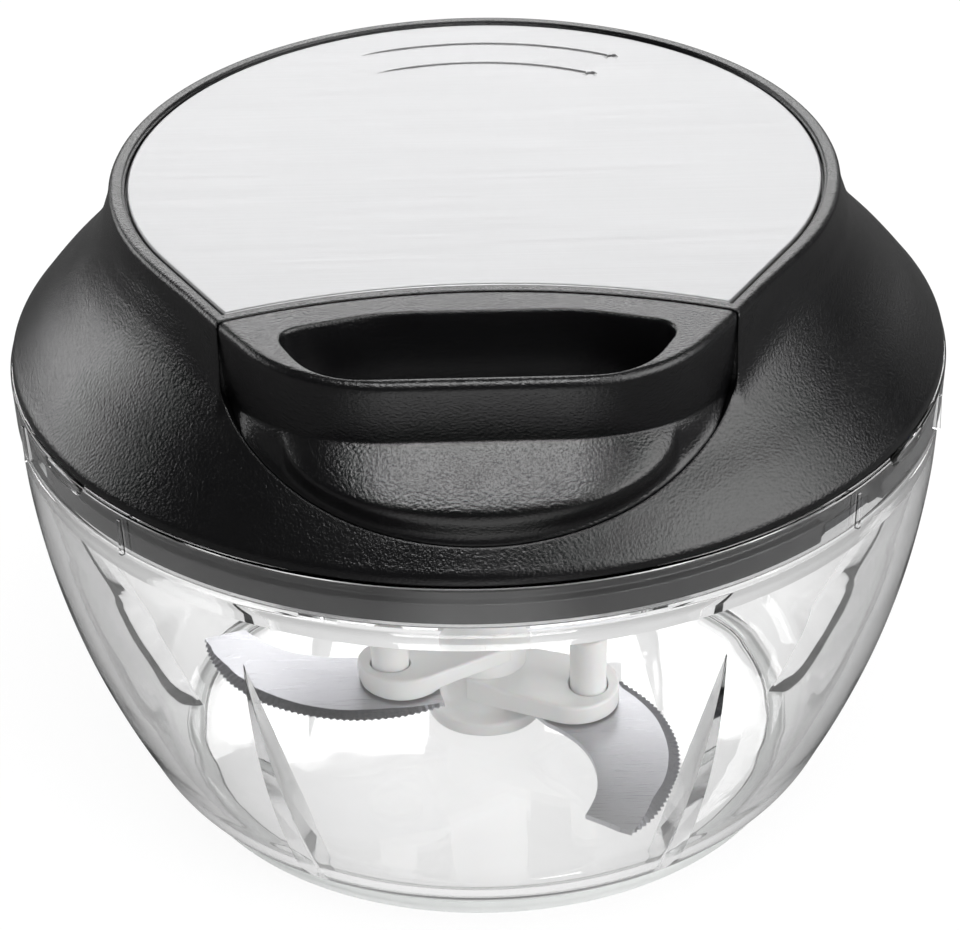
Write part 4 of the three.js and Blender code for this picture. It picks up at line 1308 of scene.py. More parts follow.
    def outer_body(self) -> Form:
        """Returns the outside of the cover, whose flank runs smoothly into the ring's upright band.

        Returns:
            The body, with the ring's round upper edge.
        """
        ring = self.top_outline(0, self.pocket_back + self.corner_reach)
        azimuths = 2 * math.pi * np.arange(FINE_ROUND) / FINE_ROUND
        across = np.column_stack([np.cos(azimuths), np.sin(azimuths)])
        turns = np.arctan2(ring[:, 1], ring[:, 0]) % (2 * math.pi)
        order = np.argsort(turns)
        ring_radius = np.interp(
            azimuths, turns[order], np.linalg.norm(ring, axis=1)[order], period=2 * math.pi)
        flank = self.flank()
        upright = np.linspace(self.neck, self.top - self.ring_edge, self.ring_steps)[1:]
        rows = [*flank, *[(flank[-1][0] - (z - self.neck) * self.neck_slope, z) for z in upright]]
        rings = []
        for radius, z in rows:
            blend = self.neck_blend * np.clip((z - self.seam) / self.grip_height, 0, 1)
            share = np.clip(0.5 + 0.5 * (radius - ring_radius) / np.maximum(blend, TINY), 0, 1)
            outer = ring_radius + share * (radius - ring_radius) + blend * share * (1 - share)
            rings.append(at_height(outer[:, None] * across, z))
        outline = rings[-1][:, :2]
        for turn in np.linspace(0, math.pi / 2, self.ring_edge_steps + 1)[1:]:
            rings.append(at_height(
                drawn_in(outline, self.ring_edge * (1 - math.cos(turn))),
                self.top - self.ring_edge * (1 - math.sin(turn))))
        return loft(rings)

    def screw_places(self) -> list[np.ndarray]:
        """Returns the places of the four lid screws."""
        turn = self.screw_azimuth
        return [on_circle(self.screw_circle, a) for a in (turn, 180 - turn, 180 + turn, -turn)]

    def build_cover(self, shop: Workshop) -> None:
        """Builds the black cover with its pocket, bosses and the seat of the plate.

        Args:
            shop: Makes the pieces.
        """
        flank = self.flank()
        inner = inset(flank, self.wall)
        inner = inner[(inner[:, 1] > self.seam) & (inner[:, 1] < self.ceiling)]
        edge = self.radius - self.wall
        cavity = revolve([
            (0, self.seam - OVERRUN), (edge, self.seam - OVERRUN), (edge, inner[0][1]), *inner[1:],
            (inner[-1][0], self.ceiling), (0, self.ceiling)])
        hollow = cavity.cut(self.pocket_body(self.pocket_wall, self.pocket_inner))
        seat = self.top_outline(self.ring_width, self.pocket_inner)
        recess = loft([
            at_height(seat, self.plate_bottom - GAP), at_height(seat, self.top - self.seat_step),
            at_height(
                drawn_in(seat, -self.seat_lean[0] * self.seat_step),
                self.top - self.seat_lean[1] * self.seat_step),
            at_height(drawn_in(seat, -self.seat_step), self.top + OVERRUN)])
        shell = self.outer_body().cut(hollow).cut(self.pocket_body(0, self.pocket_back)).cut(recess)
        boss_bottom, top = self.bowl.rim_height + GAP, self.ceiling + OVERRUN
        pilot_top = self.bowl.rim_height + self.screw_length + GAP
        bosses = [rod(self.screw_boss_radius, boss_bottom, top, p) for p in self.screw_places()]
        bosses.append(rod(self.axle_boss_radius, self.ceiling - self.axle_boss_length, top))
        holes = [rod(self.screw_radius + GAP, boss_bottom - OVERRUN, pilot_top, p) for p in self.screw_places()]
        holes.append(rod(
            self.axle_bore, self.ceiling - self.axle_boss_length - OVERRUN, self.ceiling - self.axle_slack + GAP))
        holes.append(rod_along_y(
            self.eyelet_hole, -self.pocket_back - OVERRUN, -self.pocket_inner + OVERRUN, self.cord_z))
        cover = shell.join(*bosses).cut(*holes)
        shop.piece("cover", cover, BLACK, Body.LID, ["cover_shell"], sharp=38)

    def build_plate(self, shop: Workshop) -> None:
        """Builds the steel plate with its two pressed arcs.

        Args:
            shop: Makes the pieces.
        """
        outline = self.top_outline(self.ring_width + GAP, self.pocket_inner - GAP)
        plate = prism(outline, self.plate_bottom, self.plate_top, top=self.plate_edge, steps=6)
        groove = (self.arc_width**2 / 4 + self.arc_depth**2) / (2 * self.arc_depth)
        for radius in self.arc_radii:
            share = np.linspace(0, 1, self.arc_steps)
            turns = np.radians(self.arc_middle - self.arc_span / 2 + share * self.arc_span)
            ended = np.clip((share - 1 + self.arc_fade) / self.arc_fade, 0, 1)
            lift = self.arc_depth * ended**self.arc_ease
            path = np.column_stack([
                radius * np.cos(turns), radius * np.sin(turns),
                self.plate_top + groove - self.arc_depth + lift])
            start = on_circle(radius, self.arc_middle - self.arc_span / 2)
            pit = revolve([
                *[(self.pit_radius * r, self.plate_top - self.arc_depth * deep) for r, deep in self.pit_shape],
                (self.pit_radius, self.plate_top + OVERRUN), (0, self.plate_top + OVERRUN)], SMALL)
            plate = plate.cut(tube(path, groove, self.arc_sides)).cut(pit.moved(*start))
        shop.piece("steel_plate", plate, PLATE_STEEL, Body.LID, ["top_plate"], sharp=20)

    def notch(self, azimuth: float) -> Form:
        """Returns the notch in the flange that lets a lug pass.

        Args:
            azimuth: Where it stands, in degrees.

        Returns:
            The notch.
        """
        half, low = self.notch_width / 2, self.bowl.ledge + RUNNING_GAP
        top = self.flange_top + GAP / 2
        narrow = half * (1 - self.notch_slope)
        outline = np.array([(-half, low - OVERRUN), (half, low - OVERRUN), (narrow, top), (-narrow, top)])
        return radial_prism(
            outline, self.bowl.lug_inner - GAP, self.bowl.rim_inner - RUNNING_GAP + OVERRUN, azimuth)

    @property
    def flange_top(self) -> float:
        """The height of the flange under the lugs."""
        low = self.bowl.ledge + RUNNING_GAP
        return min(low + self.flange_height, self.bowl.rim_height - self.bowl.lug_height - GAP)

    def build_base(self, shop: Workshop) -> None:
        """Builds the base plate with its skirt, and the seal in it.

        Args:
            shop: Makes the pieces.
        """
        skirt, low = self.bowl.lug_inner - GAP, self.bowl.ledge + RUNNING_GAP
        seal_inner = self.bowl.seal_bore + GAP
        seal_outer = seal_inner + self.seal_width
        top, bottom = self.bowl.rim_height, self.bowl.rim_height - self.base_thickness
        flange = self.bowl.rim_inner - RUNNING_GAP
        groove_outer, groove_top = seal_outer + GAP, low + self.seal_height + GAP
        skirt_inner = skirt - self.skirt_wall
        locating = self.radius - self.wall - RUNNING_GAP
        locating_inner, locating_top = locating - self.locating_wall, top + self.locating_height
        collar = self.collar_bore + self.collar_wall
        body = revolve(rounded([
            (self.collar_bore, bottom - self.collar_drop, SOFT_EDGE),
            (collar, bottom - self.collar_drop, ROUND_EDGE), (collar, bottom, self.collar_fillet),
            (skirt_inner, bottom, self.skirt_fillet), (skirt_inner, groove_top), (groove_outer, groove_top),
            (groove_outer, low, self.skirt_edge), (flange, low, SOFT_EDGE),
            (flange, self.flange_top, self.flange_edge), (skirt, self.flange_top, self.skirt_edge),
            (skirt, top, self.skirt_edge), (locating, top),
            (locating, locating_top - self.locating_chamfer),
            (locating - self.locating_chamfer, locating_top), (locating_inner, locating_top),
            (locating_inner, top), (collar, top), (collar, locating_top),
            (self.collar_bore, locating_top)], steps=4))
        notches = [
            self.notch(a) for a in around(self.bowl.lug_count, self.bowl.lug_azimuth - self.unlock_angle)]
        below, sink = bottom - OVERRUN, bottom + self.screw_head_height / 2
        holes = [rod(self.screw_radius + GAP, below, top + OVERRUN, p) for p in self.screw_places()]
        sinks = [rod(self.screw_head_radius + GAP, below, sink, p) for p in self.screw_places()]
        body = body.cut(*notches, *holes).cut(*sinks)
        shop.piece("base_plate", body, BLACK, Body.LID, ["lid_base"])

        bottom, lip_top = self.bowl.ledge + GAP, low + self.seal_height
        seal = revolve(rounded([
            (seal_inner, bottom, SOFT_EDGE), (seal_outer, bottom, SOFT_EDGE),
            (seal_outer, lip_top, self.seal_lip_edge), (seal_inner, lip_top, self.seal_lip_edge)]))
        shop.piece("seal_ring", seal, RUBBER, Body.SEAL, ["lid_seal"])

    def build(self, shop: Workshop) -> None:
        """Builds the whole lid.

        Args:
            shop: Makes the pieces.
        """
        self.build_cover(shop)
        self.build_plate(shop)
        self.build_base(shop)
        shop.dress(ZINC, "lid_screw_1", "lid_screw_2", "lid_screw_3", "lid_screw_4", "drum_axle")
        shop.dress(GREY, "drum_bush", "spring_arbor", "cord_eyelet")


# Handle


@dataclass(frozen=True)
class Handle:
    """The pull handle with its finger pocket, its leaning grip and the scoop under it."""

    lid: Lid
    side_gap: float = 0.2
    corner_half_width: float = 36.9
    corner_y: float = 45.9
    bend_half_width: float = 25.5
    front: float = 64.6
    bend_radius: float = 25
    edge: float = 1.2
    lean: float = 3.0
    crease_height: float = 91.6
    crease_dip: float = 2.6
    finger_back: float = 44.2
    finger_front: float = 62.5
    finger_half_width: float = 28.9
    finger_front_half_width: float = 22.5
    finger_front_radius: float = 12.3
    finger_back_half_width: float = 14
    finger_corner_y: float = 48.8
    finger_depth: float = 12
    finger_edge: float = 0.8
    finger_levels: tuple[Triple, ...] = (
        (0, 1, 1), (0.3, 0.985, 0.88), (0.6, 0.95, 0.66), (0.8, 0.9, 0.5), (0.93, 0.84, 0.38), (1, 0.77, 0.27))
    finger_draft: float = 1
    scoop_half_width: float = 27.5
    scoop_height: float = 6.2
    scoop_squareness: float = 2.1
    scoop_slope: float = 1.2
    lip_blend: float = 0.9
    least_band: float = 0.5
    crease_edge: float = 0.3
    stations: int = 181
    scoop_steps: int = 61
    face_steps: int = 12
    edge_steps: int = 8
    pocket_edge_steps: int = 5
    plug_radius: float = 3.3
    plug_length: float = 5.2
    knot_chamber: float = 4.5

    def grip_outline(self) -> np.ndarray:
        """Returns the front of the grip seen from above, from left to right.

        Returns:
            The points of the front edge.
        """
        corner, bend = self.corner_half_width, self.bend_half_width
        return rounded([
            (-corner, -self.corner_y), (-bend, -self.front, self.bend_radius),
            (bend, -self.front, self.bend_radius), (corner, -self.corner_y), (corner, 0), (-corner, 0)],
            steps=16)[:-2]

    def front_body(self) -> Form:
        """Returns the body behind the handle's front, as sections from left to right.

        From below, a section follows the flank to the scoop's lip, the scoop's floor up to the crease,
        and the leaning face of the grip to its round upper edge.

        Returns:
            The body, wider than the pocket that it is trimmed to.
        """
        outline, flank, top = self.grip_outline(), self.lid.flank(), self.lid.top - GAP / 2
        low = self.lid.crease - self.lid.pocket_depth - OVERRUN
        across = np.linspace(-self.corner_half_width, self.corner_half_width, self.stations)
        grip = np.interp(across, outline[:, 0], -outline[:, 1])
        steep = np.sqrt(1 + np.gradient(grip, across) ** 2)
        rings = []
        for x, reach, spread in zip(across, grip, steep):
            crease = self.crease_height - self.crease_dip * abs(x / self.corner_half_width) ** 4
            foot = reach * (1 - self.lean / self.front)
            share = min(abs(x) / self.scoop_half_width, 1)
            hollow = (1 - share**self.scoop_squareness) ** (1 / self.scoop_squareness)
            lip = crease - self.scoop_height * hollow
            lip_reach = foot + (crease - lip) * self.scoop_slope
            seam = self.lid.crease - self.lid.pocket_depth * math.sqrt(
                max(0.0, 1 - (x / self.lid.pocket_half_width) ** 2))
            proud = lip_reach - math.sqrt(radius_at(flank, lip) ** 2 - x**2)
            front = []
            for z in np.linspace(low, crease, self.scoop_steps):
                rise = np.clip((z - seam) / max(lip - seam, self.least_band), 0, 1)
                outer = math.sqrt(radius_at(flank, z) ** 2 - x**2) + proud * rise * rise * (3 - 2 * rise)
                floor = foot + (crease - z) * self.scoop_slope
                blend = self.lip_blend * min(1.0, (crease - z) / (2 * self.lip_blend))
                part = np.clip(0.5 + 0.5 * (outer - floor) / max(blend, TINY), 0, 1)
                front.append((outer + part * (floor - outer) - blend * part * (1 - part), z))
            face = np.linspace(crease + self.crease_edge, top - self.edge, self.face_steps)
            front += [(reach * (1 - self.lean * (top - z) / (top - crease) / self.front), z) for z in face]
            last = front[-1][0]
            for turn in np.linspace(0, math.pi / 2, self.edge_steps + 1)[1:]:
                front.append((
                    last - self.edge * spread * (1 - math.cos(turn)), top - self.edge * (1 - math.sin(turn))))
            front += [(0.0, top), (0.0, low)]
            rings.append(np.array([(x, -y, z) for y, z in front]))
        return loft(rings)

    def finger_pocket(self) -> Form:
        """Returns the space for the fingers, which grows shallow towards its front.

        Returns:
            The body that is cut out of the handle.
        """
        outline = rounded([
            (-self.finger_half_width, -self.finger_corner_y, self.finger_depth / 3),
            (-self.finger_front_half_width, -self.finger_front, self.finger_front_radius),
            (self.finger_front_half_width, -self.finger_front, self.finger_front_radius),
            (self.finger_half_width, -self.finger_corner_y, self.finger_depth / 3),
            (self.finger_back_half_width, -self.finger_back, self.finger_half_width),
            (-self.finger_back_half_width, -self.finger_back, self.finger_half_width)], steps=12)
        rings = [at_height(drawn_in(outline, -self.finger_edge), self.lid.top + OVERRUN)]
        for turn in np.linspace(0, math.pi / 2, self.pocket_edge_steps + 1)[::-1]:
            rings.append(at_height(
                drawn_in(outline, -self.finger_edge * (1 - math.cos(turn))),
                self.lid.top - self.finger_edge * (1 - math.sin(turn))))
        for depth, wide, long in spline(self.finger_levels, steps=5):
            if depth * self.finger_depth <= self.finger_edge:
                continue
            z = self.lid.top - depth * self.finger_depth
            y = -self.finger_back + (outline[:, 1] + self.finger_back) * long - self.finger_draft * depth
            rings.append(at_height(np.column_stack([outline[:, 0] * wide, y]), z))
        return loft(rings)

    def build(self, shop: Workshop) -> None:
        """Builds the handle.

        Args:
            shop: Makes the pieces.
        """
        lid = self.lid
        blank = self.front_body().common(lid.pocket_body(-self.side_gap, lid.pocket_back + self.side_gap))
        bore = rod_along_y(
            self.plug_radius + GAP,
            -lid.pocket_back - RUNNING_GAP - self.plug_length - self.knot_chamber, -lid.pocket_inner, lid.cord_z)
        handle = blank.cut(self.finger_pocket()).cut(bore)
        shop.piece("pull_handle", handle, BLACK, Body.HANDLE, ["handle"], sharp=34)
        shop.dress(GREY, "cord_plug")


# Cord and drum


@dataclass(frozen=True)
class Cord:
    """The pull cord: wound on the drum, led to the eyelet, and knotted in the handle."""

    lid: Lid
    diameter: float = 1.8
    pitch: float = 2.4
    drum_radius: float = 22
    pull: float = 440
    spare_turns: float = 0.55
    winding_bottom: float = 80.7
    plug_length: float = 5.2
    knot_radius: float = 2.1
    knot_tightness: float = 0.336
    knot_loops: float = 0.9
    knot_depth: float = 0.62
    knot_cord: float = 0.62
    sides: int = 20
    winding_steps: int = 720
    run_steps: int = 97
    knot_steps: int = 121
    eyelet_flange: float = 1.2
    drop_share: float = 0.2

    @property
    def turns(self) -> float:
        """The number of turns on the drum."""
        return self.pull / (2 * math.pi * self.drum_radius) + self.spare_turns

    def place_on_drum(self, turn: float) -> np.ndarray:
        """Returns a point of the winding after a number of turns.

        Args:
            turn: The number of turns from its lower end.

        Returns:
            The point.
        """
        leave = -90 - math.degrees(math.acos(self.drum_radius / self.lid.pocket_inner))
        return on_circle(
            self.drum_radius, leave + FULL_TURN * (turn - self.turns), self.winding_bottom + turn * self.pitch)

    def build(self, shop: Workshop) -> None:
        """Builds the four stretches of the cord.

        Args:
            shop: Makes the pieces.
        """
        radius, z, back = self.diameter / 2, self.lid.cord_z, self.lid.pocket_back
        look = BraidedCord("braid", z)
        winding = np.array([self.place_on_drum(t) for t in np.linspace(0, self.turns, self.winding_steps)])
        shop.piece("wound_cord", tube(winding, radius, self.sides), look, Body.DRUM, ["cord_winding"])

        end = self.place_on_drum(self.turns)
        mouth = np.array([0, -self.lid.pocket_inner + self.eyelet_flange + self.diameter, z])
        clear = math.sqrt((self.drum_radius + self.diameter + RUNNING_GAP) ** 2 - self.drum_radius**2)
        start = end + (mouth - end) / np.linalg.norm(mouth - end) * clear
        middle = (start + mouth) / 2
        middle[2] = start[2] + self.drop_share * (mouth[2] - start[2])
        lead = spline(
            [start, middle, mouth, (0, -self.lid.pocket_inner - GAP, z), (0, -back + GAP, z)], steps=16)
        shop.piece("cord_to_eyelet", tube(lead, radius, self.sides), look, Body.LID, ["cord_lead"])

        front = -back - RUNNING_GAP - self.plug_length - self.knot_radius / 2
        run = np.array([(0, y, z) for y in np.linspace(-back, front, self.run_steps)])
        free = new_object("free_cord", tube(run, radius, self.sides))
        free.data.shade_smooth()
        free.data.materials.append(shop.finish(look))
        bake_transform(free)
        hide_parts("pull_cord")

        turns = np.linspace(0, 2 * math.pi, self.knot_steps)
        knot = self.knot_radius * self.knot_tightness * np.column_stack([
            np.sin(turns) + self.knot_loops * np.sin(2 * turns), -self.knot_depth * np.sin(3 * turns),
            np.cos(turns) - self.knot_loops * np.cos(2 * turns)])
        middle = front - GAP - self.knot_radius * 2 / 3
        knot = tube(knot[:-1] + [0, middle, z], radius * self.knot_cord)
        shop.piece("end_knot", knot, look, Body.HANDLE, ["cord_knot"])
        shop.dress(GREY, "cord_drum", "drum_cap")
        shop.dress(SPRING, "mainspring")
        shop.dress(WHITE, "drive_socket")


# Blade unit


@dataclass(frozen=True)
class BladeUnit:
    """The hub with its three arms, each with a serrated blade held by a post."""

    bowl: Bowl
    arm_azimuth: float = -25.5
    arm_rise: float = 7
    first_arm: float = 5.4
    arm_thickness: float = 3.4
    arm_half_width: float = 7.4
    arm_end: float = 16
    post_circle: float = 18.5
    post_radius: float = 3
    post_height: float = 10.5
    post_head_radius: float = 4.4
    post_head_height: float = 0.9
    post_head_edge: float = 0.5
    column_radius: float = 6.7
    column_top_radius: float = 6.2
    foot_radius: float = 9.7
    foot_height: float = 2.4
    column_top: float = 65.1
    plug_radius: float = 4.9
    plug_top: float = 73.1
    plug_turn: float = 6
    plug_edge: float = 0.3
    column_fillet: float = 1.4
    top_edge: float = 0.7
    blade_thickness: float = 0.9
    edge_radius: float = 27.6
    edge_centre: Pair = (11.9, -17.5)
    edge_angles: Pair = (-22, 84)
    back_radius: float = 19
    back_centre: Pair = (10.5, -26)
    back_angles: Pair = (78, -3)
    root: float = 9.6
    teeth: int = 46
    tooth_depth: float = 0.45
    ground_width: float = 1.8
    ground_slope: Pair = (0.05, 0.98)
    edge_land: float = 0.25
    thin: float = 0.08
    band_step: float = 0.1
    band_margin: float = 0.05
    band_taper: int = 6
    back_steps: int = 61
    arm_steps: int = 33
    arm_edges: Pair = (0.5, 0.35)
    plug_sides: int = 6

    @property
    def bottom(self) -> float:
        """The height of the hub's foot."""
        return self.bowl.floor_top + RUNNING_GAP

    def arms(self) -> list[tuple[str, float, float]]:
        """Returns the name, azimuth and height of each arm.

        Returns:
            One name, azimuth and height for each arm, from below up.
        """
        return [
            (name, self.arm_azimuth - i * FULL_TURN / 3, self.bottom + self.first_arm + i * self.arm_rise)
            for i, name in enumerate(("lower", "middle", "upper"))]

    def arm(self, azimuth: float, z: float) -> Form:
        """Returns an arm with a round end.

        Args:
            azimuth: Where it points, in degrees.
            z: The height of its underside.

        Returns:
            The arm.
        """
        turns = np.linspace(-math.pi / 2, math.pi / 2, self.arm_steps)
        end = self.arm_half_width * np.column_stack([np.cos(turns), np.sin(turns)]) + [self.arm_end, 0]
        outline = np.vstack([[(0, -self.arm_half_width)], end, [(0, self.arm_half_width)]])
        return prism(outline, z, z + self.arm_thickness, *self.arm_edges).turned(azimuth)

    def blade_rings(self, z: float) -> tuple[list[np.ndarray], int]:
        """Returns the rings of points of a blade from below up, and the number along its edge.

        Args:
            z: The height of its upper face.

        Returns:
            The rings, and the number of points along the cutting edge.
        """
        count = 4 * self.teeth
        share = np.arange(count + 1) / count
        turns = np.radians(self.edge_angles[0] + share * (self.edge_angles[1] - self.edge_angles[0]))
        teeth = self.tooth_depth * (0.5 - 0.5 * np.cos(2 * math.pi * self.teeth * share))
        across = np.column_stack([np.cos(turns), np.sin(turns)])
        edge = self.edge_centre + (self.edge_radius - teeth)[:, None] * across
        taper = np.minimum(1, self.band_taper * np.minimum(share, 1 - share))
        band = self.edge_centre + (self.edge_radius - self.band_step - self.ground_width * taper)[:, None] * across
        back_turns = np.radians(np.linspace(*self.back_angles, self.back_steps))
        back = self.back_centre + self.back_radius * np.column_stack([np.cos(back_turns), np.sin(back_turns)])
        rest = np.vstack([[(self.root, -self.root / 2)], back])
        full = np.vstack([edge, rest])
        thin = drawn_in(full, self.thin)
        top = np.vstack([band, thin[len(edge):]])
        low = z - self.blade_thickness
        middle_z = np.concatenate([np.full(len(edge), low + self.edge_land), np.full(len(rest), z - self.thin)])
        return [
            at_height(thin, low), at_height(full, low + self.thin), np.column_stack([full, middle_z]),
            at_height(top, z)], len(edge)

    def blade(self, shop: Workshop, name: str, azimuth: float, z: float) -> None:
        """Builds a blade: a stamped sheet with a ground, serrated edge.

        Args:
            shop: Makes the piece.
            name: The name of its arm.
            azimuth: Where it points, in degrees.
            z: The height of its upper face.
        """
        rings, count = self.blade_rings(z)
        form = loft(rings).turned(azimuth)
        hole = rod(self.post_radius + GAP, z - self.blade_thickness - OVERRUN, z + OVERRUN, on_circle(
            self.post_circle, azimuth))
        obj = shop.piece(
            f"blade_{name}", form.cut(hole), BLADE_STEEL, Body.BLADES, [f"{name}_blade"], sharp=20)
        # Painted shade: the slanting faces of the ground band take the darker copy of the blade steel.
        obj.data.materials.append(shop.finish(SHADED_GROUND_STEEL))
        centre = Vector((*(np.array(self.edge_centre) * MM), 0))
        centre.rotate(Matrix.Rotation(math.radians(azimuth), 3, "Z"))
        for polygon in obj.data.polygons:
            flat = polygon.center.copy()
            flat.z = 0
            outside = (flat - centre).length > (self.edge_radius - self.ground_width - self.band_margin) * MM
            if outside and self.ground_slope[0] < polygon.normal.z < self.ground_slope[1]:
                polygon.material_index = 1

    def build(self, shop: Workshop) -> None:
        """Builds the hub, the blades and the posts.

        Args:
            shop: Makes the pieces.
        """
        foot = self.bottom + self.foot_height
        column = revolve(rounded([
            (0, self.bottom), (self.foot_radius, self.bottom, ROUND_EDGE), (self.foot_radius, foot, ROUND_EDGE),
            (self.column_radius, foot + 2 * GAP, self.column_fillet),
            (self.column_top_radius, self.column_top, self.top_edge), (0, self.column_top)]), 2 * SMALL)
        corners = [on_circle(self.plug_radius, 90 + a)[:2] for a in around(self.plug_sides, self.plug_turn)]
        plug = prism(
            rounded([(*c, self.plug_edge) for c in corners], steps=3), self.column_top - OVERRUN, self.plug_top,
            top=SOFT_EDGE)
        hub = column
        for _, azimuth, z in self.arms():
            hub = hub.join(self.arm(azimuth, z))
        holes = [
            rod(self.post_radius + GAP, z - OVERRUN, z + self.arm_thickness + OVERRUN, on_circle(
                self.post_circle, azimuth)) for _, azimuth, z in self.arms()]
        bore = rod(self.bowl.pin_radius + GAP, self.bottom - OVERRUN, self.bowl.pin_top + GAP)
        shop.piece("hub", hub.join(plug).cut(bore, *holes), WHITE, Body.BLADES, ["blade_hub"])
        for name, azimuth, z in self.arms():
            self.blade(shop, name, azimuth, z - GAP)
            seat = z - GAP - self.blade_thickness - GAP
            top = z + self.arm_thickness + self.post_height
            post = revolve(rounded([
                (0, seat - self.post_head_height),
                (self.post_head_radius, seat - self.post_head_height, self.post_head_edge),
                (self.post_head_radius, seat, FINE_EDGE), (self.post_radius, seat),
                (self.post_radius, top, self.top_edge), (0, top)]), SMALL)
            place = on_circle(self.post_circle, azimuth)
            shop.piece(f"post_{name}", post.moved(*place), WHITE, Body.BLADES, [f"{name}_post"])


# Studio

WHITE_LIGHT = (1, 1, 1, 1)
LAMP_POWER = 4  # watts for each square metre of a lamp whose face is as white as the background


@dataclass(frozen=True)
class Softbox:
    """A square lamp.

    Args:
        name: Its name.
        place: Where it stands, in metres.
        size: Its width and height in metres.
        shine: How bright its face is, where 1 is the white of the background.
        mirrored: The share of that which only reflections show.
        target: Where it points, in metres.
    """

    name: str
    place: Triple
    size: Pair
    shine: float
    mirrored: float = 0.0
    target: Triple = (0, 0, 0.08)

    def build(self) -> None:
        """Sets up the lamp, as one for all light and one for reflections alone."""
        for suffix, share in (("", 1 - self.mirrored), ("_shine", self.mirrored)):
            if not share:
                continue
            data = bpy.data.lights.new(self.name + suffix, "AREA")
            data.shape = "RECTANGLE"
            data.size, data.size_y = self.size
            data.energy = LAMP_POWER * self.shine * share * self.size[0] * self.size[1]
            lamp = bpy.data.objects.new(self.name + suffix, data)
            lamp.location = self.place
            aim = Vector(self.place) - Vector(self.target)
            lamp.rotation_euler = aim.to_track_quat("Z", "Y").to_euler()
            lamp.visible_camera = False
            lamp.visible_diffuse = not suffix
            bpy.context.scene.collection.objects.link(lamp)


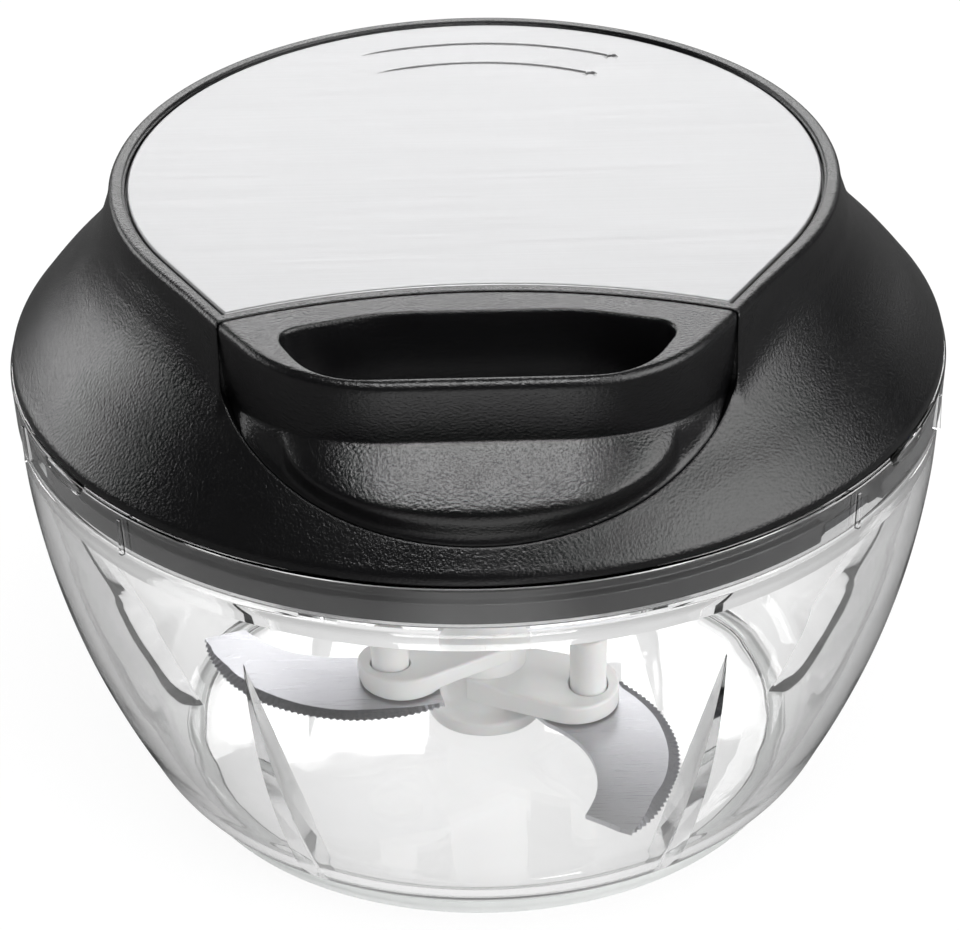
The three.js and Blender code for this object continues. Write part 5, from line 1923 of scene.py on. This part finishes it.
@dataclass(frozen=True)
class Studio:
    """The white floor and background, the lamps and the camera."""

    camera_distance: float = 0.5806
    camera_elevation: float = 31.46
    camera_roll: float = -1.3
    camera_target: Triple = (0, 0, 0.05)
    focal_length: float = 137.2
    sensor: float = 36
    shift: float = -0.0007
    clip: Pair = (0.01, 20)
    floor_size: float = 6
    floor_glow: float = 0.9
    floor_colour: str = "#f4f4f4"
    strip_half_width: Pair = (0.02, 0.055)
    strip_front: Pair = (0.2, 0.26)
    table_reach: Pair = (0.1, 0.25)
    table_edge: float = 0.6
    world_light: float = 0.6
    room_glow: float = 0.03
    room_through: float = 0.6
    room_span: Pair = (0.55, 1.0)
    lamps: tuple[Softbox, ...] = field(default_factory=lambda: (
        Softbox("left_softbox", (-0.90, 0.47, 0.29), (0.66, 0.42), 2.6),
        Softbox("right_softbox", (0.803, -0.316, 0.489), (0.69, 0.72), 5.6, 0.5),
        Softbox("front_softbox", (0.56, -0.67, 0.489), (0.35, 0.72), 2.8, 0.2),
        Softbox("back_softbox", (0, 1.32, 0.80), (1.6, 0.3), 4.25),
        Softbox("top_softbox", (0, -0.41, 1.03), (0.5, 0.34), 8.5),
    ))

    def build_floor(self) -> None:
        """Builds the floor, white to the camera but for the object's soft shadow.

        Gloss shows it as a white strip on a dark table, and clear plastic as a white table that dims further out.
        """
        half = self.floor_size / 2
        mesh = bpy.data.meshes.new("floor")
        corners = [(-half, -half, 0), (half, -half, 0), (half, half, 0), (-half, half, 0)]
        mesh.from_pydata(corners, [], [(0, 1, 2, 3)])
        floor = bpy.data.objects.new("floor", mesh)
        bpy.context.scene.collection.objects.link(floor)
        material, tree = new_material("floor_sweep")
        rays = add_node(tree, "ShaderNodeLightPath").outputs
        place = add_node(tree, "ShaderNodeTexCoord").outputs["Object"]
        way = add_node(tree, "ShaderNodeSeparateXYZ", (place,)).outputs
        side = add_node(tree, "ShaderNodeMath", (way[0],), operation="ABSOLUTE")
        ahead = add_node(tree, "ShaderNodeMath", (way[1], -1.0), operation="MULTIPLY")
        beside = add_node(tree, "ShaderNodeMapRange", (side, *self.strip_half_width, 1.0, 0.0))
        before = add_node(tree, "ShaderNodeMapRange", (ahead, *self.strip_front, 1.0, 0.0))
        strip = add_node(tree, "ShaderNodeMath", (beside, before), operation="MULTIPLY")
        away = add_node(tree, "ShaderNodeVectorMath", (place,), operation="LENGTH").outputs["Value"]
        table = add_node(tree, "ShaderNodeMapRange", (away, *self.table_reach, 1.0, self.table_edge))
        shine = add_node(tree, "ShaderNodeMix", (rays["Is Glossy Ray"], None, 1.0, strip))
        shine = add_node(tree, "ShaderNodeMix", (rays["Is Transmission Ray"], None, shine, table))
        seen = rays["Is Camera Ray"]
        for ray in ("Is Glossy Ray", "Is Transmission Ray"):
            seen = add_node(tree, "ShaderNodeMath", (seen, rays[ray]), operation="MAXIMUM")
        matt = add_node(tree, "ShaderNodeBsdfDiffuse", {"Color": linear(self.floor_colour)})
        glow = add_node(tree, "ShaderNodeEmission", {"Color": WHITE_LIGHT, "Strength": shine})
        share = add_node(tree, "ShaderNodeMath", (seen, self.floor_glow), operation="MULTIPLY")
        mix = add_node(tree, "ShaderNodeMixShader", (share, matt, glow))
        add_node(tree, "ShaderNodeOutputMaterial", (mix,))
        floor.data.materials.append(material)

    def build_world(self) -> None:
        """Builds the room: white to the camera and behind the object, dim elsewhere in gloss, and plain light."""
        world = bpy.data.worlds.new("studio")
        bpy.context.scene.world = world
        world.use_nodes = True
        tree = world.node_tree
        tree.nodes.clear()
        rays = add_node(tree, "ShaderNodeLightPath").outputs
        place = add_node(tree, "ShaderNodeTexCoord").outputs["Generated"]
        way = add_node(tree, "ShaderNodeSeparateXYZ", (place,)).outputs
        strength = add_node(tree, "ShaderNodeMapRange", (way[1], *self.room_span, self.room_glow, 1.0))
        for ray, value in (
            ("Is Transmission Ray", self.room_through), ("Is Diffuse Ray", self.world_light),
            ("Is Camera Ray", 1.0)):
            strength = add_node(tree, "ShaderNodeMix", (rays[ray], None, strength, value))
        light = add_node(tree, "ShaderNodeBackground", {"Color": WHITE_LIGHT, "Strength": strength})
        add_node(tree, "ShaderNodeOutputWorld", (light,))

    def build_camera(self) -> None:
        """Sets up the camera where the photograph was taken from."""
        turn = math.radians(self.camera_elevation)
        back = Vector((0, -math.cos(turn), math.sin(turn)))
        data = bpy.data.cameras.new("camera")
        data.sensor_width, data.lens, data.shift_x = self.sensor, self.focal_length, self.shift
        data.clip_start, data.clip_end = self.clip
        camera = bpy.data.objects.new("camera", data)
        camera.location = Vector(self.camera_target) + back * self.camera_distance
        aim = back.to_track_quat("Z", "Y").to_matrix() @ Matrix.Rotation(math.radians(self.camera_roll), 3, "Z")
        camera.rotation_euler = aim.to_euler()
        bpy.context.scene.collection.objects.link(camera)
        bpy.context.scene.camera = camera

    def build(self) -> None:
        """Sets up the studio."""
        bpy.context.scene.view_settings.view_transform = "Standard"
        self.build_camera()
        self.build_floor()
        self.build_world()
        for lamp in self.lamps:
            lamp.build()


def main() -> None:
    """Builds the studio and every piece, in the order in which the chopper goes together."""
    logging.basicConfig(level=logging.INFO, format="%(message)s")
    Studio().build()
    shop = Workshop()
    bowl = Bowl()
    lid = Lid(bowl)
    for assembly in (bowl, BladeUnit(bowl), lid, Cord(lid), Handle(lid)):
        assembly.build(shop)
        LOG.info("%s is built", type(assembly).__name__)


if __name__ == "__main__":
    main()
